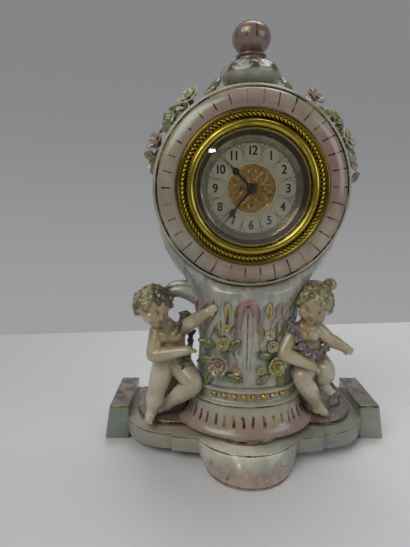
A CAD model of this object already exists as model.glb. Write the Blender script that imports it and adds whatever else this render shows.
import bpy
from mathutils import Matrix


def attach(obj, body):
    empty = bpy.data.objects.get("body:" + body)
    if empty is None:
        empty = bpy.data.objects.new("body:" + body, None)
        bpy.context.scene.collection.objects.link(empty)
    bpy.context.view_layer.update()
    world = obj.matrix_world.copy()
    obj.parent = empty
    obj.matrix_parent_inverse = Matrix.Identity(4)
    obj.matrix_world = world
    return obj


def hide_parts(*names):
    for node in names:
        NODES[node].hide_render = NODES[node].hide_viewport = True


bl_info = {
    "name": "Porcelain Figure Clock",
    "version": (1, 0, 0),
    "blender": (4, 5, 0),
    "location": "View3D > Sidebar > Clock",
    "description": "Dresses the porcelain figure clock: glazed body, flowers, cherubs, bezel and dial",
    "category": "Object",
}

import math
import random

import bpy
import numpy as np
from mathutils import Euler, Matrix, Vector, noise

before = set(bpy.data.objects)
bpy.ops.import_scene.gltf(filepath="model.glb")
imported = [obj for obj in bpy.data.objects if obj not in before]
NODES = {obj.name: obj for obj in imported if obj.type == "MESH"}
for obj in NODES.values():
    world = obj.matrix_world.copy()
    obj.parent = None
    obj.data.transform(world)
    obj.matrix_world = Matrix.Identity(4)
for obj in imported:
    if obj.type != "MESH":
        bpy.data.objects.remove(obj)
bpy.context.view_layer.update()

MM = 0.001
TURN = 2 * math.pi

# Heights, reaches from an axis and faces in front of y = 0, in millimetres of the CAD frame
AXIS_H = 165.0
COLUMN_Y = 5.0
TERRACE_TOP = 19.5
FIGURE_H = 90.0
FOOT_REACH = 32.65
BEAD_H = 42.5
BEAD_GAP = 5.9
FLUTES_FROM = 48
FLUTES_TO = 108
DRUM_REACH = 57.6
DIAL_FACE = 12.66
NUMBERS_REACH = 20.5
NUMBERS_SIZE = 6.9
DOTS_REACH = 25.25
GILT_FACE = 12.95
HANDS_FACE = 15.0
GLASS_SEAT = 17.46
ROPE_FACE = 18.55
ROPE_REACH = 38.8
BOY_AT = Vector((-50, 0, TERRACE_TOP))
GIRL_AT = Vector((50, 0, TERRACE_TOP))

# Depth over width of the oval column and of its foot, and cushions round the finial's bulb
COLUMN_SQUASH = 0.68
FOOT_SQUASH = 0.76
BULB_LOBES = 8

# Degrees clockwise from twelve of the two hands, and the slant of the bezel's beads
MINUTE_AT = 219
HOUR_AT = 316
ROPE_SLANT = 52

# The camera: focal length and picture height in pixels, its sensor, its place in metres, and its
# tilt and turn in degrees
FOCAL_PX, FRAME_PX, SENSOR_MM = 400, 547, 36
CAMERA_AT = (-0.0258, -0.2426, 0.1591)
CAMERA_TILT, CAMERA_TURN = 10.49, 0.13

# Warm clouds in the glaze, tarnish on metal, and the shade of thin gold
WARM_CLOUD = (0.32, 0.24, 0.19, 1)
TARNISHED = (0.16, 0.11, 0.05, 1)
GOLD_SHADE = (0.05, 0.026, 0.012)

# Places of the joints in shares of a figure's height: pelvis, belly, chest, neck, head, then
# shoulder, elbow, hand of each arm, then hip, knee, ankle, toe of each leg.
BOY_PLACES = [
    (0.025, 0.022, 0.425), (0.03, 0, 0.525), (0.025, -0.022, 0.625), (-0.01, -0.04, 0.715),
    (-0.09, -0.075, 0.83),
    (-0.07, -0.044, 0.65), (-0.09, -0.111, 0.505), (0.133, -0.156, 0.556),
    (0.1, -0.022, 0.67), (0.17, -0.12, 0.74), (0.275, -0.16, 0.82),
    (-0.022, 0, 0.417), (-0.078, -0.067, 0.228), (-0.122, -0.056, 0.05), (-0.133, -0.111, 0.025),
    (0.07, 0, 0.42), (0.185, -0.125, 0.3), (-0.033, 0.022, 0.061), (-0.1, 0.011, 0.028),
]
GIRL_PLACES = [
    (-0.11, 0, 0.45), (-0.135, -0.03, 0.55), (-0.16, -0.05, 0.64), (-0.155, -0.07, 0.725),
    (-0.115, -0.085, 0.85),
    (-0.245, -0.08, 0.67), (-0.32, -0.155, 0.535), (-0.15, -0.2, 0.47),
    (-0.085, -0.055, 0.68), (0.005, -0.06, 0.605), (0.115, -0.07, 0.545),
    (-0.125, -0.02, 0.44), (-0.185, -0.14, 0.35), (-0.03, -0.04, 0.083), (0.02, -0.02, 0.028),
    (-0.07, 0, 0.435), (-0.02, -0.12, 0.4), (0, 0.03, 0.23), (0.055, 0, 0.185),
]
BOY_GARLAND = [
    (0.065, -0.12, 0.69), (0.11, -0.09, 0.74), (0.13, -0.01, 0.77), (0.15, 0.045, 0.69),
    (0.16, 0.02, 0.57), (0.145, -0.06, 0.485), (0.105, -0.11, 0.43),
]
GIRL_GARLAND = [
    (-0.275, -0.03, 0.745), (-0.265, -0.12, 0.73), (-0.235, -0.155, 0.645), (-0.185, -0.165, 0.565),
    (-0.095, -0.15, 0.53), (-0.02, -0.08, 0.55),
]

# How much larger a small child's head is than the balls of clay listed for it
HEAD = 1.1


# Sizes and colours a user would change
class ClockSizes(bpy.types.PropertyGroup):
    clay_voxel: bpy.props.FloatProperty(
        name="Clay grain", description="Voxel size of the modelled porcelain", default=0.0007,
        min=0.0004, max=0.002, unit="LENGTH", precision=5)
    edge_round: bpy.props.FloatProperty(
        name="Edge rounding", description="Rounding of the base's edges", default=0.0009,
        min=0.0002, max=0.002, unit="LENGTH", precision=5)
    bead_count: bpy.props.IntProperty(
        name="Bezel beads", description="Number of slanted beads round the bezel", default=100,
        min=60, max=180)
    flute_count: bpy.props.IntProperty(
        name="Column flutes", description="Number of shallow flutes round the column", default=26,
        min=12, max=40)
    stroke_count: bpy.props.IntProperty(
        name="Face strokes", description="Number of gold strokes round the drum's face", default=34,
        min=30, max=80)


def tint(name, description, default):
    return bpy.props.FloatVectorProperty(name=name, description=description, subtype="COLOR", size=3,
                                         default=default, min=0, max=1)


class ClockColours(bpy.types.PropertyGroup):
    glaze: tint("Glaze", "White of the porcelain glaze", (0.46, 0.42, 0.31))
    rose: tint("Rose", "Rose tint of the bands", (0.285, 0.17, 0.14))
    lustre: tint("Lustre", "Cool lustre in the hollows", (0.185, 0.205, 0.165))
    gold: tint("Gilding", "Painted gold", (0.46, 0.29, 0.07))
    brass: tint("Brass", "Brass of the bezel and the movement", (0.50, 0.39, 0.06))
    skin: tint("Skin", "Flesh tint of the figures", (0.41, 0.30, 0.16))
    leaf: tint("Leaf", "Green of the applied leaves", (0.10, 0.11, 0.028))
    dial: tint("Dial", "Ground of the dial", (0.64, 0.585, 0.40))


def sizes():
    return bpy.context.scene.clock_sizes


def colour(name):
    return tuple(getattr(bpy.context.scene.clock_colours, name)) + (1.0,)


# Shader building
class Shader:
    """Short ways to place nodes in one material's or group's tree."""

    def __init__(self, tree):
        self.tree = tree

    def feed(self, socket, value):
        if isinstance(value, bpy.types.NodeSocket):
            self.tree.links.new(value, socket)
        elif value is not None:
            if isinstance(value, (tuple, list)) and len(value) == 3 and socket.type == "RGBA":
                value = tuple(value) + (1.0,)
            socket.default_value = value

    def fill(self, node, **values):
        """Feeds a node's inputs by name, with a low line for each space."""
        for label, value in values.items():
            self.feed(node.inputs[label.replace("_", " ")], value)
        return node

    def add(self, kind, *values, out=0, **settings):
        node = self.tree.nodes.new(kind)
        for key, value in settings.items():
            setattr(node, key, value)
        for i, value in enumerate(values):
            self.feed(node.inputs[i], value)
        return node.outputs[out] if out is not None else node

    def math(self, operation, a, b=0.5, c=0.5):
        return self.add("ShaderNodeMath", a, b, c, operation=operation)

    def times(self, a, b):
        return self.math("MULTIPLY", a, b)

    def scaled(self, value, factor, plus):
        return self.math("MULTIPLY_ADD", value, factor, plus)

    def larger(self, a, b):
        return self.math("MAXIMUM", a, b)

    def clamp(self, value):
        return self.add("ShaderNodeClamp", value, 0.0, 1.0)

    def mix(self, share, a, b, blend="MIX"):
        node = self.tree.nodes.new("ShaderNodeMix")
        node.data_type = "RGBA"
        node.blend_type = blend
        self.feed(node.inputs[0], share)
        self.feed(node.inputs[6], a)
        self.feed(node.inputs[7], b)
        return node.outputs[2]

    def blend(self, share, a, b):
        node = self.tree.nodes.new("ShaderNodeMix")
        self.feed(node.inputs[0], share)
        self.feed(node.inputs[2], a)
        self.feed(node.inputs[3], b)
        return node.outputs[0]

    def step(self, value, low, high, a=0.0, b=1.0):
        return self.add("ShaderNodeMapRange", value, low, high, a, b, interpolation_type="SMOOTHSTEP")

    def window(self, value, low, high, soft):
        """1 between low and high, with soft ends."""
        rise = self.step(value, low - soft, low + soft)
        fall = self.step(value, high - soft, high + soft, 1.0, 0.0)
        return self.times(rise, fall)

    def place(self):
        return self.add("ShaderNodeTexCoord", out=3)

    def axes(self, vector):
        node = self.add("ShaderNodeSeparateXYZ", vector, out=None)
        return node.outputs[0], node.outputs[1], node.outputs[2]

    def noise(self, vector, scale, detail=3.0, rough=0.5, stretch=None):
        if stretch:
            vector = self.add("ShaderNodeVectorMath", vector, stretch, operation="MULTIPLY")
        node = self.fill(self.tree.nodes.new("ShaderNodeTexNoise"), Vector=vector, Scale=scale,
                         Detail=detail, Roughness=rough)
        return node.outputs["Fac"]

    def patches(self, vector, scale, detail, low, high, a=0.0, b=1.0):
        """Soft-edged clouds: a below the low value and b above the high one."""
        return self.step(self.noise(vector, scale, detail), low, high, a, b)

    def ramp(self, value, stops):
        node = self.tree.nodes.new("ShaderNodeValToRGB")
        self.feed(node.inputs[0], value)
        while len(node.color_ramp.elements) < len(stops):
            node.color_ramp.elements.new(0.5)
        for element, (at, shade) in zip(node.color_ramp.elements, stops):
            element.position = at
            element.color = tuple(shade)[:3] + (1.0,)
        return node.outputs[0]

    def bump(self, height, distance, strength=1.0):
        node = self.tree.nodes.new("ShaderNodeBump")
        return self.fill(node, Height=height, Distance=distance, Strength=strength).outputs[0]

    def polar(self, vector, centre=(0.0, 0.0), squash=1.0, plane="XZ"):
        """Angle in turns from 0 to 1 and distance about a centre."""
        x, y, z = self.axes(vector)
        a = self.math("SUBTRACT", x, centre[0])
        b = self.math("DIVIDE", self.math("SUBTRACT", z if plane == "XZ" else y, centre[1]), squash)
        turn = self.scaled(self.math("ARCTAN2", b, a), 1 / TURN, 0.5)
        return turn, self.math("SQRT", self.math("ADD", self.times(a, a), self.times(b, b)))

    def strokes(self, turn, count, width, jitter=None):
        """Thin marks spaced evenly round a turn."""
        phase = self.times(turn, float(count))
        if jitter is not None:
            phase = self.scaled(jitter, 0.9, phase)
        off = self.math("ABSOLUTE", self.math("SUBTRACT", self.math("FRACT", phase), 0.5))
        return self.step(off, width * 0.45, width * 0.75, 1.0, 0.0)


def shader_group(name, inputs, outputs, build):
    """A node group with named sockets; build(shader, inputs) returns the outputs by name."""
    if name in bpy.data.node_groups:
        return bpy.data.node_groups[name]
    tree = bpy.data.node_groups.new(name, "ShaderNodeTree")
    for label, kind, value in inputs:
        socket = tree.interface.new_socket(label, in_out="INPUT", socket_type="NodeSocket" + kind)
        if value is not None:
            socket.default_value = value
    for label, kind in outputs:
        tree.interface.new_socket(label, in_out="OUTPUT", socket_type="NodeSocket" + kind)
    start, end = tree.nodes.new("NodeGroupInput"), tree.nodes.new("NodeGroupOutput")
    made = build(Shader(tree), start.outputs)
    for label, _ in outputs:
        tree.links.new(made[label], end.inputs[label])
    return tree


def use_group(sh, tree, **values):
    node = sh.tree.nodes.new("ShaderNodeGroup")
    node.node_tree = tree
    return sh.fill(node, **values).outputs


def glaze_group():
    """Pooled, faintly clouded glaze: cool and rose clouds, pinholes and an orange-peel surface."""
    def build(sh, given):
        p = sh.place()
        cloud = sh.noise(p, given["Scale"], 4.0, 0.55)
        cool = sh.times(sh.step(cloud, 0.47, 0.68), given["Cloud"])
        warm = sh.times(sh.step(cloud, 0.36, 0.5, 1.0, 0.0), given["Cloud"])
        shade = sh.mix(cool, given["Color"], given["Cool"])
        shade = sh.mix(sh.times(warm, 0.45), shade, given["Warm"])
        speck = sh.patches(p, 1500.0, 1.0, 0.735, 0.78)
        shade = sh.mix(sh.times(speck, 0.5), shade, (0.16, 0.13, 0.1))
        peel = sh.noise(p, 420.0, 2.0)
        pits = sh.scaled(speck, -1.2, peel)
        rough = sh.scaled(sh.noise(p, 90.0, 3.0), 0.3, 0.1)
        return {"Color": shade, "Roughness": rough, "Height": pits}

    return shader_group(
        "Pooled Glaze",
        [("Color", "Color", None), ("Cool", "Color", (0.22, 0.25, 0.22, 1)),
         ("Warm", "Color", WARM_CLOUD), ("Cloud", "Float", 0.6), ("Scale", "Float", 28.0)],
        [("Color", "Color"), ("Roughness", "Float"), ("Height", "Float")], build)


def gilding_group():
    """Brushed-on gold that is thin in places: keeps a mask, its colour and its roughness."""
    def build(sh, given):
        p = sh.place()
        thin = sh.step(sh.noise(p, given["Scale"], 3.0, 0.6), 0.3, 0.47)
        kept = sh.times(given["Mask"], sh.blend(given["Wear"], 1.0, thin))
        tone = sh.step(sh.noise(p, 90.0, 4.0, 0.6), 0.4, 0.66)
        shade = sh.mix(tone, GOLD_SHADE, given["Color"])
        return {"Mask": sh.clamp(kept), "Color": shade, "Roughness": sh.scaled(tone, 0.25, 0.18)}

    return shader_group(
        "Painted Gilding",
        [("Mask", "Float", 0.0), ("Color", "Color", None), ("Wear", "Float", 0.6),
         ("Scale", "Float", 700.0)],
        [("Mask", "Float"), ("Color", "Color"), ("Roughness", "Float")], build)


def metal_group():
    """Tarnish and fine scratches on turned metal."""
    def build(sh, given):
        p = sh.place()
        tarnish = sh.step(sh.noise(p, given["Scale"], 4.0, 0.6), 0.42, 0.72)
        tarnish = sh.times(tarnish, given["Tarnish"])
        scratch = sh.noise(p, 1400.0, 2.0, 0.6, (1.0, 1.0, 0.05))
        shade = sh.mix(tarnish, given["Color"], given["Dark"])
        rough = sh.scaled(scratch, 0.12, sh.scaled(tarnish, 0.3, given["Polish"]))
        return {"Color": shade, "Roughness": rough, "Height": scratch}

    return shader_group(
        "Handled Metal",
        [("Color", "Color", None), ("Dark", "Color", TARNISHED), ("Tarnish", "Float", 0.5),
         ("Polish", "Float", 0.12), ("Scale", "Float", 120.0)],
        [("Color", "Color"), ("Roughness", "Float"), ("Height", "Float")], build)


def new_material(name):
    """An empty material with its shader builder and its surface shader."""
    material = bpy.data.materials.new(name)
    material.use_nodes = True
    return material, Shader(material.node_tree), material.node_tree.nodes["Principled BSDF"]


def glazed(name, paint, gold=None, cloud=0.6, scale=28.0, wear=0.6, film=True):
    """Glazed porcelain: paint(shader, place) gives the colour and gold(shader, place) the gilt mask."""
    if name in bpy.data.materials:
        return bpy.data.materials[name]
    material, sh, bsdf = new_material(name)
    p = sh.place()
    base = use_group(sh, glaze_group(), Color=paint(sh, p), Cloud=cloud, Scale=scale,
                     Cool=colour("lustre"), Warm=WARM_CLOUD)
    shade, rough = base["Color"], base["Roughness"]
    if gold:
        gilt = use_group(sh, gilding_group(), Mask=gold(sh, p), Color=colour("gold"), Wear=wear)
        shade = sh.mix(gilt["Mask"], shade, gilt["Color"])
        rough = sh.blend(gilt["Mask"], rough, gilt["Roughness"])
        sh.fill(bsdf, Metallic=sh.times(gilt["Mask"], 0.9))
    sh.fill(bsdf, Base_Color=shade, Roughness=rough, Normal=sh.bump(base["Height"], 0.00008, 0.7),
            IOR=1.52, Coat_Weight=0.45, Coat_Roughness=0.12, Subsurface_Weight=0.06,
            Subsurface_Radius=(0.003, 0.002, 0.0015))
    if film:
        sh.fill(bsdf, Thin_Film_Thickness=420.0, Thin_Film_IOR=1.6)
    return material


def metal(name, shade, dark=TARNISHED, tarnish=0.5, polish=0.12, scale=120.0, mark=0.35):
    if name in bpy.data.materials:
        return bpy.data.materials[name]
    material, sh, bsdf = new_material(name)
    if callable(shade):
        shade = shade(sh, sh.place())
    made = use_group(sh, metal_group(), Color=shade, Dark=dark, Tarnish=tarnish, Polish=polish,
                     Scale=scale)
    sh.fill(bsdf, Base_Color=made["Color"], Roughness=made["Roughness"], Metallic=1.0,
            Normal=sh.bump(made["Height"], 0.00003, mark))
    return material


# Paints and gilt masks of the porcelain parts
def about_dial(sh, p):
    return sh.polar(p, (0.0, AXIS_H * MM))


def about_column(sh, p, squash=1.0):
    return sh.polar(p, (0.0, COLUMN_Y * MM), squash, "XY")


def own_marks(sh, name="along"):
    """Three values that a piece keeps for each of its points."""
    return sh.axes(sh.add("ShaderNodeAttribute", out=1, attribute_name=name))


def flecked(first, second, scale, detail=1.0):
    """Two close tones in fine flecks."""
    return lambda sh, p: sh.mix(sh.noise(p, scale, detail), first, second)


def plain_white(sh, p):
    return sh.mix(sh.noise(p, 14.0, 2.0), colour("glaze"), (0.37, 0.35, 0.27))


def drum_paint(sh, p):
    x, y, _ = sh.axes(p)
    _, reach = about_dial(sh, p)
    front = sh.step(y, -0.0135, -0.0115, 1.0, 0.0)
    band = sh.times(sh.window(reach, 0.0432, 0.0534, 0.0005), front)
    patchy = sh.patches(p, 34.0, 3.0, 0.33, 0.56, 0.3, 1.0)
    patchy = sh.times(patchy, sh.step(x, -0.055, 0.0, 0.5, 1.0))
    pink = sh.mix(sh.patches(p, 26.0, 2.0, 0.45, 0.6), colour("rose"), (0.36, 0.195, 0.17))
    shade = sh.mix(sh.times(band, patchy), plain_white(sh, p), pink)
    side = sh.times(sh.window(y, -0.006, 0.012, 0.006), sh.step(x, 0.03, -0.05))
    return sh.mix(sh.times(side, 0.35), shade, colour("rose"))


def drum_gold(sh, p):
    x, y, z = sh.axes(p)
    turn, reach = about_dial(sh, p)
    front = sh.step(y, -0.0125, -0.0105, 1.0, 0.0)
    marks = sh.strokes(turn, sizes().stroke_count, 0.075, sh.noise(p, 24.0, 1.0))
    wide = sh.larger(sh.step(x, -0.02, 0.01), sh.step(z, 0.145, 0.13))
    rise = sh.step(sh.scaled(wide, 0.0012, reach), 0.0452, 0.0458)
    fall = sh.step(sh.scaled(wide, -0.0026, reach), 0.0501, 0.0508, 1.0, 0.0)
    marks = sh.times(marks, sh.times(rise, fall))
    line = sh.window(reach, 0.0530, 0.0542, 0.00015)
    inner = sh.times(sh.window(reach, 0.0424, 0.0430, 0.0002), 0.7)
    return sh.times(sh.larger(sh.larger(marks, line), inner), front)


def foot_paint(sh, p):
    z = sh.axes(p)[2]
    rose = sh.step(z, 0.0345, 0.0235)
    patchy = sh.patches(p, 60.0, 3.0, 0.3, 0.6, 0.55, 1.0)
    shade = sh.mix(sh.times(rose, patchy), plain_white(sh, p),
                   sh.mix(0.4, colour("rose"), (0.54, 0.38, 0.345)))
    band = sh.window(z, 0.0385, 0.0445, 0.0008)
    return sh.mix(sh.times(band, 0.45), shade, colour("lustre"))


def foot_gold(sh, p):
    z = sh.axes(p)[2]
    turn, _ = about_column(sh, p, FOOT_SQUASH)
    marks = sh.times(sh.strokes(turn, 38, 0.24, sh.noise(p, 60.0, 1.0)),
                     sh.window(z, 0.0240, 0.0306, 0.0008))
    line = sh.window(z, 0.0364, 0.0373, 0.0002)
    return sh.larger(marks, line)


def plinth_paint(sh, p):
    _, y, z = sh.axes(p)
    wall = sh.step(z, 0.0148, 0.0135)
    lobe = sh.times(sh.step(y, -0.026, -0.034), wall)
    fade = sh.step(z, 0.0135, 0.0065)
    stipple = sh.patches(p, 260.0, 3.0, 0.36, 0.62)
    rosy = sh.times(lobe, sh.times(fade, sh.blend(0.35, 1.0, stipple)))
    bright = sh.mix(sh.step(y, -0.018, -0.030), sh.mix(0.3, plain_white(sh, p), (0.24, 0.21, 0.14)),
                    (0.78, 0.74, 0.61))
    shade = sh.mix(sh.times(wall, 0.3), bright, colour("lustre"))
    return sh.mix(rosy, shade, (0.40, 0.27, 0.235))


def plinth_gold(sh, p):
    _, y, z = sh.axes(p)
    edge = sh.window(z, 0.0151, 0.0158, 0.00025)
    front = sh.step(y, -0.026, -0.032)
    low = sh.times(sh.window(z, 0.0011, 0.0019, 0.0002), front)
    stipple = sh.times(sh.patches(p, 420.0, 2.0, 0.63, 0.7),
                       sh.times(front, sh.window(z, 0.003, 0.010, 0.002)))
    return sh.larger(sh.larger(edge, low), sh.times(stipple, 0.8))


def rear_foot_paint(sh, p):
    z = sh.axes(p)[2]
    top = sh.step(z, 0.0222, 0.0236)
    shade = sh.mix(0.5, plain_white(sh, p), colour("lustre"))
    brown = sh.mix(sh.patches(p, 160.0, 4.0, 0.35, 0.65), (0.07, 0.042, 0.02), (0.28, 0.2, 0.12))
    return sh.mix(top, shade, brown)


def rear_foot_gold(sh, p):
    _, y, z = sh.axes(p)
    return sh.times(sh.window(z, 0.0222, 0.0236, 0.0003), sh.step(y, 0.012, 0.004))


def terrace_paint(sh, p):
    patchy = sh.patches(p, 45.0, 3.0, 0.28, 0.6, 0.5, 1.0)
    shade = sh.mix(patchy, plain_white(sh, p), sh.mix(0.45, colour("rose"), (0.08, 0.05, 0.035)))
    return sh.mix(sh.patches(p, 330.0, 2.0, 0.5, 0.6, 0.0, 0.6), shade, (0.06, 0.035, 0.02))


def terrace_gold(sh, p):
    z = sh.axes(p)[2]
    return sh.window(z, 0.0172, 0.0189, 0.0003)


def column_paint(sh, p):
    """White with cool hollows, and streaks of lilac, blue and olive under the drum."""
    z = sh.axes(p)[2]
    hollow, _, _ = own_marks(sh, "pool")
    streak = sh.noise(p, 170.0, 3.0, 0.6, (1.0, 1.0, 0.16))
    tints = sh.ramp(streak, [(0.30, (0.10, 0.105, 0.045)), (0.40, (0.33, 0.36, 0.40)),
                             (0.48, (0.50, 0.475, 0.40)), (0.56, (0.33, 0.24, 0.27)),
                             (0.66, (0.24, 0.29, 0.33)), (0.75, (0.42, 0.37, 0.18))])
    under = sh.times(sh.window(z, 0.088, 0.128, 0.012), 0.62)
    shade = sh.mix(under, plain_white(sh, p), tints)
    low = sh.times(sh.step(streak, 0.5, 0.62), sh.step(z, 0.1, 0.07))
    shade = sh.mix(sh.times(low, 0.5), shade, (0.27, 0.31, 0.34))
    return sh.mix(sh.times(hollow, 0.65), shade, (0.16, 0.155, 0.105))


def column_gold(sh, p):
    z = sh.axes(p)[2]
    turn, _ = about_column(sh, p, COLUMN_SQUASH)
    marks = sh.strokes(turn, 13, 0.05, sh.noise(p, 70.0, 1.0))
    worn = sh.patches(p, 120.0, 2.0, 0.48, 0.56)
    return sh.times(marks, sh.times(sh.window(z, 0.050, 0.096, 0.004), worn))


def ball_paint(sh, p):
    return sh.mix(sh.patches(p, 80.0, 3.0, 0.4, 0.62, 0.1, 0.45), (0.25, 0.14, 0.115),
                  (0.12, 0.065, 0.05))


def ball_gold(sh, p):
    z = sh.axes(p)[2]
    turn, _ = about_column(sh, p)
    marks = sh.times(sh.strokes(turn, 11, 0.16, sh.noise(p, 40.0, 1.0)),
                     sh.window(z, 0.2462, 0.2566, 0.0012))
    return sh.larger(marks, sh.times(sh.window(z, 0.2390, 0.2397, 0.0002), 0.6))


def bulb_paint(sh, p):
    z = sh.axes(p)[2]
    turn, _ = about_column(sh, p)
    gap = sh.step(sh.math("COSINE", sh.times(turn, TURN * BULB_LOBES)), 0.0, 0.5)
    hollow = sh.times(gap, sh.window(z, 0.2285, 0.2362, 0.001))
    shade = sh.mix(sh.patches(p, 90.0, 3.0, 0.42, 0.62, 0.0, 0.45), plain_white(sh, p),
                   colour("lustre"))
    shade = sh.mix(sh.times(hollow, 0.9), shade, (0.028, 0.016, 0.01))
    cap = sh.times(sh.step(z, 0.2325, 0.2355), sh.patches(p, 200.0, 2.0, 0.4, 0.55))
    return sh.mix(sh.times(cap, 0.8), shade, (0.22, 0.12, 0.09))


def bulb_gold(sh, p):
    z = sh.axes(p)[2]
    turn, _ = about_column(sh, p)
    dabs = sh.times(sh.strokes(turn, 16, 0.34, sh.noise(p, 70.0, 1.0)),
                    sh.patches(p, 330.0, 2.0, 0.54, 0.62))
    return sh.times(dabs, sh.window(z, 0.2295, 0.2368, 0.001))


def leaf_shape_paint(tip, base):
    """Colour along a modelled leaf, from base to tip, and darker in its creases."""
    def paint(sh, p):
        t, _, hollow = own_marks(sh)
        clouds = sh.noise(p, 150.0, 3.0)
        reach = sh.scaled(clouds, 0.8, t)
        shade = sh.mix(sh.step(reach, 0.8, 1.3), base, tip)
        return sh.mix(sh.times(hollow, 0.85), shade, (0.09, 0.05, 0.05))
    return paint


def contoured(paint, shade):
    """Darkens the outline of a leaf's upper half."""
    def contour(sh, p):
        t, s, _ = own_marks(sh)
        rim = sh.times(sh.step(s, 0.7, 0.95), sh.step(t, 0.5, 0.65))
        return sh.mix(sh.times(rim, 0.8), paint(sh, p), shade)
    return contour


def drop_paint(sh, p):
    t, s, _ = own_marks(sh)
    edge = sh.mix(sh.patches(p, 160.0, 2.0, 0.45, 0.58), (0.17, 0.12, 0.2), (0.12, 0.19, 0.2))
    up = sh.scaled(t, 4.6, -3.5)
    off = sh.times(s, 1.5)
    away = sh.math("ADD", sh.times(up, up), sh.times(off, off))
    return sh.mix(sh.step(away, 1.0, 0.55), edge, (0.46, 0.36, 0.08))


def leaf_shape_gold(width, edge):
    def gold(sh, p):
        t, s, _ = own_marks(sh)
        off = sh.math("ABSOLUTE", s)
        rib = sh.times(sh.step(off, width, width * 0.4), sh.window(t, 0.12, 0.86, 0.06))
        rim = sh.times(sh.step(off, 0.93, 0.985), edge)
        return sh.larger(rib, rim)
    return gold


def skin_paint(sh, p):
    rosy, shadow, _ = own_marks(sh, "blush")
    z = sh.axes(p)[2]
    clouds = sh.patches(p, 70.0, 3.0, 0.35, 0.65)
    legs = sh.mix(clouds, (0.47, 0.38, 0.24), (0.60, 0.54, 0.41))
    upper = sh.mix(clouds, colour("skin"), (0.53, 0.46, 0.31))
    tone = sh.mix(sh.step(z, 0.056, 0.072), legs, upper)
    tone = sh.mix(sh.times(shadow, 0.95), tone, (0.10, 0.052, 0.02))
    return sh.mix(sh.times(rosy, 0.8), tone, (0.33, 0.15, 0.055))


def hair_paint(light, dark, patch=None):
    """Strands of two tones; patch is the middle of a darker place, in metres."""
    def paint(sh, p):
        strand = sh.noise(p, 300.0, 4.0, 0.6, (1.0, 1.0, 0.45))
        shade = sh.mix(sh.step(strand, 0.4, 0.62), dark, light)
        if patch:
            away = sh.add("ShaderNodeVectorMath", p, patch, operation="DISTANCE", out=1)
            shade = sh.mix(sh.step(away, 0.0105, 0.0065, 0.0, 0.9), shade, (0.05, 0.03, 0.018))
        return shade
    return paint


def garland_paint(first, second):
    def paint(sh, p):
        patch = sh.patches(p, 180.0, 2.0, 0.44, 0.55)
        return sh.mix(patch, first, second)
    return paint


def rock_paint(sh, p):
    patch = sh.step(sh.noise(p, 75.0, 4.0, 0.6), 0.36, 0.62)
    shade = sh.mix(patch, (0.06, 0.036, 0.025), (0.26, 0.2, 0.16))
    return sh.mix(sh.times(sh.noise(p, 40.0, 2.0), 0.5), shade, colour("rose"))


# Modelling tools
def only(obj):
    """Selects one object alone, in object mode."""
    if bpy.context.object and bpy.context.object.mode != "OBJECT":
        bpy.ops.object.mode_set(mode="OBJECT")
    bpy.ops.object.select_all(action="DESELECT")
    bpy.context.view_layer.objects.active = obj
    if obj:
        obj.select_set(True)
    return obj


def start():
    """Deselects everything, ready for a new primitive."""
    only(None)


def edit_all(obj):
    """Opens one mesh for editing with all of it selected."""
    only(obj)
    bpy.ops.object.mode_set(mode="EDIT")
    bpy.ops.mesh.select_all(action="SELECT")


def edit_end():
    bpy.ops.object.mode_set(mode="OBJECT")


def weld(obj, distance, outward=True):
    """Merges doubles, closes poles and seams, and turns the faces outwards."""
    edit_all(obj)
    bpy.ops.mesh.remove_doubles(threshold=distance)
    if outward:
        bpy.ops.mesh.normals_make_consistent(inside=False)
    edit_end()
    return obj


def modify(obj, kind, **settings):
    """Adds a modifier and applies it."""
    only(obj)
    modifier = obj.modifiers.new(kind.title(), kind)
    for key, value in settings.items():
        setattr(modifier, key, value)
    bpy.ops.object.modifier_apply(modifier=modifier.name)
    return obj


def settle(obj):
    """Puts the place into the mesh, so that the object sits at the origin."""
    only(obj)
    bpy.ops.object.transform_apply(location=True, rotation=True, scale=True)
    return obj


def soften(obj, angle):
    """Smooth shading, with edges sharper than the angle kept."""
    only(obj)
    bpy.ops.object.shade_smooth_by_angle(angle=math.radians(angle))


def joined(parts, name):
    start()
    for part in parts:
        part.select_set(True)
    bpy.context.view_layer.objects.active = parts[0]
    if len(parts) > 1:
        bpy.ops.object.join()
    parts[0].name = name
    parts[0].data.name = name
    return parts[0]


def piece(obj, name, material, body="case", stands_for=(), angle=40):
    """Names a finished piece, or a list of parts, gives it its finish and hands it to its body."""
    if isinstance(obj, list):
        obj = joined(obj, name)
    settle(obj)
    obj.name = name
    obj.data.name = name
    if material is not None:
        obj.data.materials.clear()
        obj.data.materials.append(material)
    soften(obj, angle)
    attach(obj, body)
    if stands_for:
        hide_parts(*stands_for)
    return obj


def dress(node, material):
    """Gives a kept CAD node its material."""
    data = NODES[node].data
    data.materials.clear()
    data.materials.append(material)


def grid_of(name, columns, rows, place):
    """A grid primitive whose points are laid out by place(u, v), in mm, with each one's (u, v)."""
    start()
    bpy.ops.mesh.primitive_grid_add(x_subdivisions=columns, y_subdivisions=rows, size=1)
    obj = bpy.context.object
    obj.name = name
    flat = [(vertex.co.x + 0.5, vertex.co.y + 0.5) for vertex in obj.data.vertices]
    for vertex, (u, v) in zip(obj.data.vertices, flat):
        vertex.co = Vector(place(u, v)) * MM
    return obj, flat


def turned(name, profile, steps, centre=(0.0, 0.0), squash=1.0, facing=False, shape=None):
    """Turns a closed row of (radius, height) points about an axis: upright, or along the dial's."""
    rows = len(profile)
    ring = list(profile) + [profile[0]]

    def place(u, v):
        r, h = ring[min(rows, round(v * rows))]
        a = TURN * u
        if shape:
            r += shape(a, r, h)
        if facing:
            return (r * math.cos(a), -h, AXIS_H + r * math.sin(a))
        return (centre[0] + r * math.cos(a), centre[1] + r * math.sin(a) * squash, h)

    return weld(grid_of(name, steps, rows, place)[0], 2e-6)


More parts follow.
